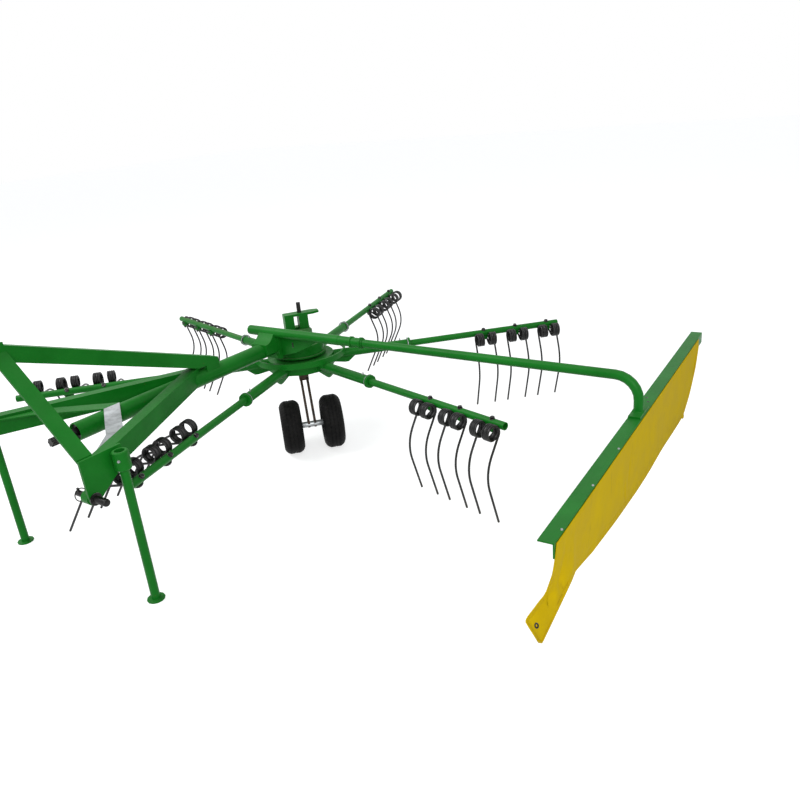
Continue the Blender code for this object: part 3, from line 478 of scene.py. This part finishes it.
# ================================================================ tine arms
ARM_TUBE = (0.0337, 0.0257)      # outer and inner diameter
ARM_INNER_R = 0.220              # from the rotor's axis: hidden in the socket
ARM_TIP_R = 1.430
CAM_LIFT = 45                    # roll at rest is this much under a roll joint's upper limit
TINE_WIRE = 0.0098
TINES_PER_ARM = 3
TINE_PITCH = 0.180
TINE_TIP_MARGIN = 0.066
FINGER_SPACING = 0.104           # between a double tine's two fingers
LOOP_WIDTH = 0.034
COIL_MEAN_R = 0.031
COIL_TURNS = 3
COIL_STEPS = 24
COIL_OFFSET = Vector((-0.053, -0.013))
ELBOW = Vector((-0.126, -0.165))
FINGER_TIP = Vector((-0.082, -0.410))
ELBOW_REACH = 0.085
CLAMP_R = 0.024
CLAMP_W = 0.030


def tine_path():
    """A double tine's wire, finger to finger: (along the arm, tangential, up) from its axis."""
    hold = Vector((CLAMP_R / 2, -(ARM_TUBE[0] + TINE_WIRE) / 2))
    to_coil = COIL_OFFSET - hold
    arrive = (math.atan2(to_coil.y, to_coil.x) + math.pi / 2
              + math.asin(COIL_MEAN_R / to_coil.length))
    upper = (ELBOW - COIL_OFFSET).normalized()
    leave = math.atan2(upper.y, upper.x) + math.pi / 2
    winding = (arrive - leave) % (2 * math.pi) + COIL_TURNS * 2 * math.pi
    loop = LOOP_WIDTH / 2
    width = FINGER_SPACING / 2 - loop
    half = [(loop * math.sin(turn), hold.x + loop * 0.4 * math.cos(turn), hold.y)
            for turn in (math.pi / 16 * k for k in range(9))]
    steps = round(winding / (2 * math.pi) * COIL_STEPS)
    for step in range(steps + 1):
        turn = arrive - winding * step / steps
        half.append((loop + width * step / steps,
                     COIL_OFFSET.x + COIL_MEAN_R * math.cos(turn),
                     COIL_OFFSET.y + COIL_MEAN_R * math.sin(turn)))
    into = (ELBOW - Vector(half[-1][1:])).normalized()
    onward = (FINGER_TIP - ELBOW).normalized()
    before, after = ELBOW - into * ELBOW_REACH, ELBOW + onward * ELBOW_REACH
    for share in (k / 10 for k in range(11)):
        bend = before.lerp(ELBOW, share).lerp(ELBOW.lerp(after, share), share)
        half.append((FINGER_SPACING / 2, *bend))
    half.append((FINGER_SPACING / 2, *FINGER_TIP))
    return [(-x, y, z) for x, y, z in reversed(half[1:])] + half


def arm_place(joint):
    """The arm's own frame: X out along its tube, Z away from its fingers."""
    out = -Vector(joint["axis"])
    up = Vector((0, 0, 1))
    basis = Matrix((out, up.cross(out), up)).transposed().to_4x4()
    roll = math.radians(joint["range_deg"][1] - CAM_LIFT)
    return Matrix.Translation(joint["pos_m"]) @ basis @ Matrix.Rotation(roll, 4, "X")


def tine_arm(joint, tube_finish):
    """Tube, sprung double tines, their half-round clamps and the clamps' bolts."""
    body, place = joint["child"], arm_place(joint)
    outer, inner = ARM_TUBE[0] / 2, ARM_TUBE[1] / 2
    tube, clamps, tines, bolts = (bmesh.new() for _ in range(4))
    sweep(tube, [(ARM_INNER_R, 0, 0), (ARM_TIP_R, 0, 0)], outer, 40, bore=inner)
    path = tine_path()
    half_round = [(CLAMP_R * math.cos(turn), CLAMP_R * math.sin(turn))
                  for turn in (math.pi * (1 + k / 16) for k in range(17))]
    for index in range(TINES_PER_ARM):
        middle = ARM_TIP_R - TINE_TIP_MARGIN - index * TINE_PITCH
        here = Matrix.Translation((middle, 0, 0))
        sweep(tines, path, TINE_WIRE / 2, 10, here)
        seat = here @ Matrix.Translation((0, 0, 0.002 - outer)) @ Matrix.Rotation(math.pi / 2, 4, "X")
        prism(clamps, half_round, -CLAMP_W / 2, CLAMP_W / 2, seat)
        bolt_head(bolts, (middle, 0, outer - 0.0005), (0, 0, 1), 0.011, 0.2 * index)
        bolt_head(bolts, (middle, 0, 0.0025 - outer - CLAMP_R), (0, 0, -1), 0.008,
                  0.5 * index, stud=0.004)
    piece(body + "_tube", tube, tube_finish, body, (body,), 0.0006, place)
    piece(body + "_clamps", clamps, GREEN, body, (body,), 0.002, place)
    piece(body + "_tines", tines, SPRING, body, (body,), place=place)
    piece(body + "_bolts", bolts, OXIDE, body, place=place)


# ================================================================ curtain cloth
CURTAIN_FOOT = (0.200, 1.845)    # middle of the arm's foot, from the rotor's axis
TOE_IN = math.radians(2.7)
ANGLE_FACE = 0.0268      # from the curtain's line to the cloth's middle, outside the angle
CLOTH_T = 0.0026
CLOTH_COLUMNS, CLOTH_ROWS = 300, 36
ANGLE_TOP = 0.5
BOLTS_AT = (0.320, 0.595, 0.870)             # along the angle
BOLTS_OUT = 0.019                            # from the curtain's line to the bolts
HOLES_AT = ((-0.115, 0.006), (-0.155, -0.010))   # along and across the angle
WELD_R = 0.0195
EYELET_AT = (1.022, 0.276)                   # along the angle, height over the floor
KNOB_AT = (-0.712, 0.203)
KNOB_R = 0.008
LOWER_EDGE = (           # along the angle from the arm's foot, height over the floor
    (-0.955, 0.460), (-0.900, 0.370), (-0.800, 0.265), (-0.710, 0.196), (-0.450, 0.197),
    (0.100, 0.219), (0.600, 0.262), (0.765, 0.296), (0.800, 0.282), (1.038, 0.236), (1.062, 0.256),
    (1.080, 0.284))
UPPER_EDGE = ((-0.955, 0.494), (0.935, 0.494), (0.952, 0.335), (1.000, 0.322), (1.062, 0.310),
              (1.080, 0.290))


def along_line(line, at):
    """Height of a line of points at a place along it."""
    for (x0, z0), (x1, z1) in zip(line, line[1:]):
        if at <= x1:
            return z0 + (z1 - z0) * (at - x0) / (x1 - x0)
    return line[-1][1]


def bump_at(value, middle, width):
    """Soft hump of height 1 about a middle."""
    return math.exp(-((value - middle) / width) ** 2)


def cloth_offset(at, level):
    """How far the cloth hangs out from its own plane, at a place and height."""
    hang = clamped((0.47 - level) / 0.27)
    above = clamped((level - along_line(LOWER_EDGE, at)) / 0.06)
    wave = 0.003 * math.sin(at * 5.3 + 0.8) + 0.0010 * math.sin(at * 12.7 + 2.0 + level * 4)
    crease = 0.010 * bump_at(at + 0.10 * (level - 0.36), 0.205, 0.008) * bump_at(level, 0.39, 0.07)
    crease += 0.008 * bump_at(at - 0.25 * (level - 0.30), 0.250, 0.007) * bump_at(level, 0.30, 0.05)
    folds = 0.012 * bump_at(at, 0.905, 0.018) - 0.012 * bump_at(at, 0.862, 0.016)
    folds += 0.005 * bump_at(at, 0.800, 0.020) - 0.010 * bump_at(at, -0.885, 0.02)
    rear = 0.012 * clamped((-0.70 - at) / 0.25)
    tail = clamped((at - 0.80) / 0.24)
    shape = hang * (wave - above * crease + rear - 0.006)
    lean = -0.040 * tail * above * clamped((0.425 - level) / 0.10)
    return shape + above * min(1.0, hang * 2) * folds * (1 - tail) + lean


def cloth_point(at, level):
    """Middle of the cloth's thickness, at a place and height."""
    return Vector((at, ANGLE_FACE + cloth_offset(at, level), level))


def curtain_line():
    """Frame on the floor under the arm's foot: X along the angle to its front end."""
    return Matrix.Translation((HUB.x + CURTAIN_FOOT[0], HUB.y + CURTAIN_FOOT[1], 0)) @ (
        Matrix.Rotation(TOE_IN, 4, "Z"))


def curtain_cloth():
    """Hanging sheet outside the angle, with its narrow front tail and its lower hem."""
    bm = bmesh.new()
    start, end = UPPER_EDGE[0][0], UPPER_EDGE[-1][0]
    grid = []
    for i in range(CLOTH_COLUMNS + 1):
        at = start + (end - start) * i / CLOTH_COLUMNS
        top, bottom = along_line(UPPER_EDGE, at), along_line(LOWER_EDGE, at)
        bottom = min(bottom, top - 0.004)
        grid.append([bm.verts.new(cloth_point(at, top + (bottom - top) * j / CLOTH_ROWS))
                     for j in range(CLOTH_ROWS + 1)])
    for near, far in zip(grid, grid[1:]):
        for j in range(CLOTH_ROWS):
            bm.faces.new((near[j], near[j + 1], far[j + 1], far[j]))
    edge = [Vector(column[-1].co) for column in grid]
    area = sum(face.calc_area() for face in bm.faces)
    place = curtain_line()
    cloth = piece("curtain_cloth", bm, CLOTH, "curtain", ("curtain_sheet",),
                  place=place)
    cloth.data.shade_smooth()
    thick = cloth.modifiers.new("thickness", "SOLIDIFY")
    thick.thickness, thick.offset = CLOTH_T, 0
    hem = bmesh.new()
    sweep(hem, [point + Vector((0, 0, 0.003)) for point in edge[:-1:2]], 0.0030, 8)
    sweep(hem, [point + Vector((0, 0.0016, 0.022)) for point in edge[4:-24:2]], 0.0008, 6)
    hem = piece("curtain_hem", hem, CLOTH, "curtain", ("curtain_sheet",),
                place=place)


def curtain_fittings():
    """Bolts through the angle's outer edge, dark discs of painted shade on its free holes, the foot's weld, the
    eyelet and the knob.
    """
    place = curtain_line()
    bolts, holes, weld, eyelet, knob = (bmesh.new() for _ in range(5))
    for at in BOLTS_AT:
        lathe(bolts, [(0, 0), (0.0045, 0), (0.0035, 0.0030), (0, 0.0036)],
              facing((at, BOLTS_OUT, ANGLE_TOP), (0, 0, 1)), 14)
    # thin dark discs on the angle's top: painted shade standing for the free holes
    for at, across in HOLES_AT:
        lathe(holes, [(0, 0), (0.0055, 0), (0.0055, 0.0004), (0, 0.0004)],
              facing((at, across, ANGLE_TOP + 0.0001), (0, 0, 1)), 18)
    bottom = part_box("curtain_angle")[1].z + 0.0083
    sweep(weld, [(WELD_R * math.cos(turn), WELD_R * math.sin(turn),
                  bottom + 0.0012 * math.sin(turn * 9))
                 for turn in (2 * math.pi * k / 40 for k in range(40))], 0.0035, 8, closed=True)
    (at, level), step = EYELET_AT, 0.004
    slope_x, slope_z = ((cloth_offset(at + x, level + z) - cloth_offset(at - x, level - z))
                        / (2 * step) for x, z in ((step, 0), (0, step)))
    outward = Vector((-slope_x, 1, -slope_z)).normalized()
    lathe(eyelet, [(0.0035, 0), (0.0085, 0), (0.0078, 0.0018), (0.0042, 0.0018)],
          facing(cloth_point(at, level) + outward * 0.0012, outward), 24)
    corner = cloth_point(*KNOB_AT) + Vector((-0.008, 0, -0.009))
    sweep(knob, [corner + Vector((KNOB_R * math.sin(turn), 0, KNOB_R * math.cos(turn)))
                 for turn in (2 * math.pi * k / 28 for k in range(28))], 0.0032, 10, closed=True)
    piece("curtain_bolts", bolts, METAL, "curtain", place=place)
    piece("curtain_hole_shade", holes, OXIDE, "curtain", place=place)
    piece("curtain_weld", weld, GREEN, "curtain", place=place)
    piece("curtain_eyelet", eyelet, OXIDE, "curtain", place=place)
    piece("curtain_knob", knob, CLOTH, "curtain", place=place)


# ================================================================ caster wheels
TYRE_W = 0.105
WHEEL_R = 0.138
RIM_R = 0.072
GROOVES = (-0.024, 0.0, 0.024)   # middles of the ribs' grooves, across the tread
GROOVE_W = 0.005
GROOVE_D = 0.0022
LUGS = 44                        # blocks round each shoulder
LUG_D = 0.0012
SHOULDER_R = 0.34 * TYRE_W
HUB_R = 0.0265
WHEEL_NUTS = 5
WHEEL_NUTS_R = 0.034
HUB_REACH = 0.044                # from a wheel's middle to its hub's inner end


def wheel_place(node):
    """A wheel's own frame, Z along the axle."""
    return facing(centre(node), JOINTS["wheels_spin"]["axis"])


def tyre(node):
    """Ribbed road tyre with round shoulders, cut into blocks at their outer edges."""
    half, wall = TYRE_W / 2, WHEEL_R - RIM_R
    shoulder = SHOULDER_R
    flank = [(RIM_R + 0.0005, half * 0.78), (RIM_R + wall * 0.06, half * 0.84),
             (RIM_R + wall * 0.14, half * 0.90), (RIM_R + wall * 0.17, half * 0.955),
             (RIM_R + wall * 0.21, half * 0.935), (RIM_R + wall * 0.36, half * 0.985),
             (RIM_R + wall * 0.50, half), (RIM_R + wall * 0.58, half * 0.995)]
    flank += [(WHEEL_R - shoulder * (1 - math.cos(turn)), half - shoulder + shoulder * math.sin(turn))
              for turn in (math.radians(angle) for angle in (72, 58, 56, 40, 24, 12, 0))]
    tread = []
    for middle in reversed(GROOVES):
        for across, depth in ((0.5, 0), (0.32, GROOVE_D), (-0.32, GROOVE_D), (-0.5, 0)):
            tread.append((WHEEL_R - depth, middle + across * GROOVE_W))
    profile = flank + tread + [(radius, -y) for radius, y in reversed(flank)]
    bm = bmesh.new()
    lathe(bm, profile, sides=LUGS * 4)
    for vert in bm.verts:
        radius, turn = vert.co.to_2d().length, math.atan2(vert.co.y, vert.co.x)
        step = round(turn / (2 * math.pi) * LUGS * 4) % 4
        edge = abs(vert.co.z) - (half - shoulder) - shoulder * 0.2
        if step == 0 and edge > 0 and radius > WHEEL_R - shoulder * 0.55:
            vert.co.xy *= 1 - LUG_D / radius
            vert.co.z *= 1 - LUG_D * 0.4 / half
    place = wheel_place(node)
    piece(node + "_ribbed", bm, RUBBER, "wheels", (node,), place=place)


def rim(node, outward):
    """Pressed rim with its rolled edges, wheel disc, hub, cap, nuts and valve."""
    half, hub = TYRE_W * 0.40, HUB_R
    bead = RIM_R - 0.0005
    bm = bmesh.new()
    lathe(bm, [(bead - 0.007, -half), (bead - 0.001, -half), (bead, -half + 0.0015),
               (bead - 0.001, -half + 0.006), (bead - 0.010, -half + 0.014),
               (bead - 0.010, half - 0.014), (bead - 0.001, half - 0.006),
               (bead, half - 0.0015), (bead - 0.001, half), (bead - 0.007, half),
               (bead - 0.0075, half - 0.004), (bead - 0.014, half - 0.012),
               (bead - 0.014, 0.016), (0.046, 0.012), (0.040, 0.020), (hub + 0.002, 0.020),
               (hub, 0.024), (hub, half * 0.92), (hub - 0.003, half), (0.0125, half),
               (0.0125, -half), (hub - 0.003, -half), (hub, -half * 0.92), (hub, 0.014),
               (0.038, 0.014), (0.044, 0.006), (bead - 0.014, 0.010),
               (bead - 0.014, -half + 0.012), (bead - 0.0075, -half + 0.004)],
          sides=64)
    place = wheel_place(node)
    if outward < 0:
        place = place @ Matrix.Rotation(math.pi, 4, "X")
    piece(node + "_pressed", bm, METAL, "wheels", (node,), place=place)
    nuts, cap = bmesh.new(), bmesh.new()
    for k in range(WHEEL_NUTS):
        turn = 2 * math.pi * k / WHEEL_NUTS
        bolt_head(nuts, (WHEEL_NUTS_R * math.cos(turn), WHEEL_NUTS_R * math.sin(turn), 0.020),
                  (0, 0, 1), 0.007, turn, stud=0.003)
    lathe(cap, [(0, 0.030), (0.0125, 0.030), (0.0125, half), (0.0165, half),
                (0.0165, half + 0.0045), (0.0145, half + 0.0075), (0.0095, half + 0.0088),
                (0, half + 0.0092)], sides=36)
    sweep(cap, [(0.052, 0, 0.013), (0.053, 0, 0.024), (0.0545, 0, 0.031)], 0.0030, 10)
    piece(node + "_nuts", nuts, OXIDE, "wheels", place=place)
    piece(node + "_cap", cap, METAL, "wheels", place=place)


def axle_sleeve():
    """Bright spacer tube on the axle between the two hubs."""
    bm = bmesh.new()
    reach = (centre("rim_left") - centre("rim_right")).length / 2 - HUB_REACH
    axle = JOINTS["wheels_spin"]
    lathe(bm, [(0.0122, -reach), (0.0150, -reach), (0.0154, 0.002 - reach),
               (0.0154, reach - 0.002), (0.0150, reach), (0.0122, reach)],
          facing(axle["pos_m"], axle["axis"]), 40)
    piece("axle_sleeve", bm, METAL, "wheels")


# ================================================================ frame, rotor and hitch details
TUBE_Z = 0.560           # axis of the main tube
SOCKET_END_R = 0.590     # rotor axis to the sockets' outer ends
ARM_Z = 0.434
PAN_BOLTS_R, PAN_BOLTS_Z = 0.110, 0.5385
FLANGE_BOLTS = 0.042     # sideways and up from the main tube's axis
FLANGE_FRONT, FLANGE_BACK = 0.2066, 0.1818


def on_machine(x, y, z):
    """World place from one that is measured from the rotor's axis on the floor."""
    return Vector((HUB.x + x, HUB.y + y, z))


def socket_rings():
    """Bare washers behind the six sockets' collars, each with a grease nipple near it."""
    rings, nipples = bmesh.new(), bmesh.new()
    for k in range(6):
        turn = math.radians(15 + 60 * k)
        out = Vector((math.cos(turn), math.sin(turn), 0))
        end = on_machine(*(out * (SOCKET_END_R + 0.0006)).to_2d(), ARM_Z)
        lathe(rings, [(0.0244, -0.0160), (0.0318, -0.0160), (0.0326, -0.0152),
                      (0.0326, -0.0128), (0.0244, -0.0128)], facing(end, out), 44)
        place = end - out * 0.055 + Vector((0, 0, 0.0235))
        lathe(nipples, [(0, 0), (0.0042, 0), (0.0042, 0.004), (0.0030, 0.0048), (0.0030, 0.0078),
                        (0.0020, 0.0090), (0.0034, 0.0105), (0.0022, 0.0128), (0, 0.0132)],
              facing(place, (0, 0, 1)), 14)
    piece("socket_rings", rings, METAL, "rotor")
    piece("socket_nipples", nipples, METAL, "rotor")


def hub_details():
    """Bolts round the pan and through the neck's flange, the filler plug, and a thin dark plate of painted shade
    standing for the web's slot.
    """
    bolts, plug, slot_shade_plate = bmesh.new(), bmesh.new(), bmesh.new()
    for k in range(8):
        turn = math.radians(22.5 + 45 * k)
        if abs(math.sin(turn)) < 0.5 and math.cos(turn) > 0:
            continue
        around = Vector((math.cos(turn), math.sin(turn)))
        bolt_head(bolts, on_machine(*(around * PAN_BOLTS_R), PAN_BOLTS_Z),
                  (*(around * 0.35), 1), 0.008, turn)
    for side, rise in ((-1, -1), (-1, 1), (1, -1), (1, 1)):
        y, z = side * FLANGE_BOLTS, TUBE_Z + rise * FLANGE_BOLTS
        bolt_head(bolts, on_machine(FLANGE_FRONT, y, z), (1, 0, 0), 0.012, side)
        bolt_head(bolts, on_machine(FLANGE_BACK, y, z), (-1, 0, 0), 0.012, rise, stud=0.006)
    lathe(plug, [(0, 0), (0.011, 0), (0.011, 0.004), (0.0085, 0.005), (0.0085, 0.011),
                 (0.0070, 0.013), (0, 0.013)], facing(on_machine(-0.046, 0.036, 0.5995), (0, 0, 1)), 24)
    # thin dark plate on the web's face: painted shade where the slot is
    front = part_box("sleeve_web")[1].x
    prism(slot_shade_plate, [(-0.0040, -0.013), (0.0040, -0.013), (0.0040, 0.013), (-0.0040, 0.013)],
          0, 0.0004, facing(Vector((front, HUB.y + 0.130, 0.578)), (1, 0, 0), math.pi / 2))
    piece("web_slot_painted_shade", slot_shade_plate, OXIDE, "chassis")
    piece("hub_bolts", bolts, GREEN, "chassis")
    piece("filler_plug", plug, METAL, "chassis")


def linch_pin(bm, place, along):
    """Spring ring with its pin through a link pin's tail."""
    here = facing(place, along)
    sweep(bm, [(0, -0.024, 0), (0, 0.026, 0)], 0.0045, 12, here)
    sweep(bm, [(0.0225 * math.sin(turn), 0.004 + 0.0225 * math.cos(turn), 0.006 * math.sin(turn))
               for turn in (2 * math.pi * k / 32 for k in range(32))], 0.0020, 8, here,
          closed=True)
    lathe(bm, [(0, 0.0), (0.0075, 0.0), (0.0075, 0.008), (0, 0.008)],
          here @ facing((0, 0.022, 0), (0, 1, 0)), 16)


def link_pins():
    """Smooth lower pins: machined ends, washers, collars inside and linch pins."""
    for side, node in ((1, "lower_pin_left"), (-1, "lower_pin_right")):
        low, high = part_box(node)
        middle = centre(node)
        outer, inner = (high.y, low.y) if side > 0 else (low.y, high.y)
        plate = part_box(node.replace("lower_pin", "hitch_plate"))
        face = plate[1].y if side > 0 else plate[0].y
        back = plate[0].y if side > 0 else plate[1].y
        pin, collar, ring = bmesh.new(), bmesh.new(), bmesh.new()
        reach = abs(outer - face)
        here = facing((middle.x, face, middle.z), (0, side, 0))
        lathe(pin, [(0, -0.010), (0.0139, -0.010), (0.0139, reach - 0.0035),
                    (0.0128, reach - 0.0010), (0.0110, reach), (0, reach)], here, 40)
        tail = abs(inner - back)
        inside = facing((middle.x, back, middle.z), (0, -side, 0))
        lathe(pin, [(0, 0.030), (0.0110, 0.030), (0.0110, tail - 0.0020), (0.0095, tail),
                    (0, tail)], inside, 36)
        lathe(collar, [(0, 0.0003), (0.025, 0.0003), (0.025, 0.0380), (0.0235, 0.0400),
                       (0, 0.0400)], inside, 44)
        lathe(ring, [(0.0142, 0.0002), (0.0230, 0.0002), (0.0230, 0.0030), (0.0142, 0.0030)],
              here, 40)
        linch_pin(ring, (middle.x, inner + side * 0.018, middle.z), (0.2, side, 0.1))
        piece(node + "_turned", pin, OXIDE, "chassis", (node,))
        piece(node + "_collar", collar, GREEN, "chassis", (node,))
        piece(node + "_linch", ring, OXIDE, "chassis")


def socket_screws():
    """Set screws of the stands' sockets."""
    screws = bmesh.new()
    for side, node in ((1, "stand_socket_left"), (-1, "stand_socket_right")):
        low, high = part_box(node)
        reach = (high.x - low.x) / 2
        out = Vector((0.80, side * 0.60, 0))
        bolt_head(screws, centre(node) + out * (reach - 0.001) + Vector((0, 0, 0.006)), out, 0.005)
    piece("socket_screws", screws, METAL, "chassis")


# ================================================================ assembly
REPLACED = {"curtain_sheet", "tyre_left", "tyre_right", "rim_left", "rim_right",
            "lower_pin_left", "lower_pin_right"}
ROUNDS = smooth_rounds()

for label in NODES:
    dress(label, finish_of(label))
# gear housing with much paler tops: dust and a painted sheen
dress("gear_housing", DUSTY_SHEEN_GREEN)
# near brace only: bare plate with a painted reflection, its mirrored twin stays green
dress("brace_left", BRIGHT_REFLECTION_METAL)

# arm_5's tube gets the much paler tops: dust and a painted sheen
for joint in frame["joints"]:
    if joint["name"].endswith("_roll"):
        tine_arm(joint, DUSTY_SHEEN_GREEN if joint["child"] == "arm_5" else GREEN)
        REPLACED.add(joint["child"])
for label in sorted(set(NODES) - REPLACED):
    soften(label, ROUNDS)
curtain_cloth()
curtain_fittings()
for label, outward in (("left", 1), ("right", -1)):
    tyre("tyre_" + label)
    rim("rim_" + label, outward)
axle_sleeve()
socket_rings()
hub_details()
link_pins()
socket_screws()


# ================================================================ camera, light and floor
def camera():
    """The machine seen from its left front, from head height."""
    data = bpy.data.cameras.new("view")
    item = bpy.data.objects.new("view", data)
    SCENE.collection.objects.link(item)
    data.lens = 33.44
    data.sensor_width = 36.0
    place = Vector((HUB.x + 2.7486, HUB.y + 2.6107, 1.6353))
    yaw, pitch, roll = 3.7687, 0.3774, -0.0932
    ahead = Vector((math.cos(yaw) * math.cos(pitch), math.sin(yaw) * math.cos(pitch),
                    -math.sin(pitch)))
    right = Vector((math.sin(yaw), -math.cos(yaw), 0))
    up = right.cross(ahead)
    side = right * math.cos(roll) + up * math.sin(roll)
    top = up * math.cos(roll) - right * math.sin(roll)
    matrix = Matrix((side, top, -ahead)).transposed().to_4x4()
    matrix.translation = place
    item.matrix_world = matrix
    SCENE.camera = item


def area_light(name, place, target, size, power, colour=(1, 1, 1)):
    data = bpy.data.lights.new(name, "AREA")
    data.shape = "DISK"
    data.size = size
    data.energy = power
    data.color = colour
    item = bpy.data.objects.new(name, data)
    SCENE.collection.objects.link(item)
    item.location = place
    item.rotation_euler = (Vector(target) - Vector(place)).to_track_quat("-Z", "Y").to_euler()


def shown_background(tree, graph_output, lit, shade):
    """Mixes what lights the scene with the white that camera, mirrors and glass see."""
    path = tree.nodes.new("ShaderNodeLightPath")
    total = path.outputs["Is Camera Ray"]
    for kind in ("Is Glossy Ray", "Is Transmission Ray"):
        join = tree.nodes.new("ShaderNodeMath")
        join.operation = "MAXIMUM"
        tree.links.new(total, join.inputs[0])
        tree.links.new(path.outputs[kind], join.inputs[1])
        total = join.outputs[0]
    mix = tree.nodes.new("ShaderNodeMixShader")
    tree.links.new(total, mix.inputs[0])
    tree.links.new(lit, mix.inputs[1])
    tree.links.new(shade, mix.inputs[2])
    tree.links.new(mix.outputs[0], graph_output)


def surroundings():
    world = bpy.data.worlds.new("studio")
    SCENE.world = world
    world.use_nodes = True
    tree = world.node_tree
    tree.nodes.clear()
    output = tree.nodes.new("ShaderNodeOutputWorld")
    light, white = (tree.nodes.new("ShaderNodeBackground") for _ in range(2))
    light.inputs["Color"].default_value = (0.93, 0.97, 1.0, 1.0)
    light.inputs["Strength"].default_value = 0.50
    white.inputs["Color"].default_value = (1, 1, 1, 1)
    white.inputs["Strength"].default_value = 1.0
    shown_background(tree, output.inputs["Surface"], light.outputs[0], white.outputs[0])

    hub = (HUB.x, HUB.y, 0.4)
    area_light("key", (2.2, -3.0, 5.5), hub, 3.5, 215)
    area_light("fill", (4.5, 5.0, 3.5), hub, 5.0, 185)


def floor():
    """White floor that goes on past the picture and keeps the object's soft shadow."""
    bpy.ops.mesh.primitive_plane_add(size=60, location=(0, 0, 0))
    item = bpy.context.object
    item.name = "studio_floor"
    g = Graph("studio_floor")
    g.finish((0.55, 0.55, 0.55), 0.9, Specular_IOR_Level=0.1)
    glow = g.node("ShaderNodeEmission")
    glow.inputs["Strength"].default_value = 0.70
    add = g.node("ShaderNodeAddShader")
    g.link(g.shader.outputs[0], add.inputs[0])
    g.link(glow.outputs[0], add.inputs[1])
    shown_background(g.tree, g.output.inputs["Surface"], g.shader.outputs[0], add.outputs[0])
    item.data.materials.append(g.material)


camera()
surroundings()
floor()
SCENE.view_settings.view_transform = "Standard"
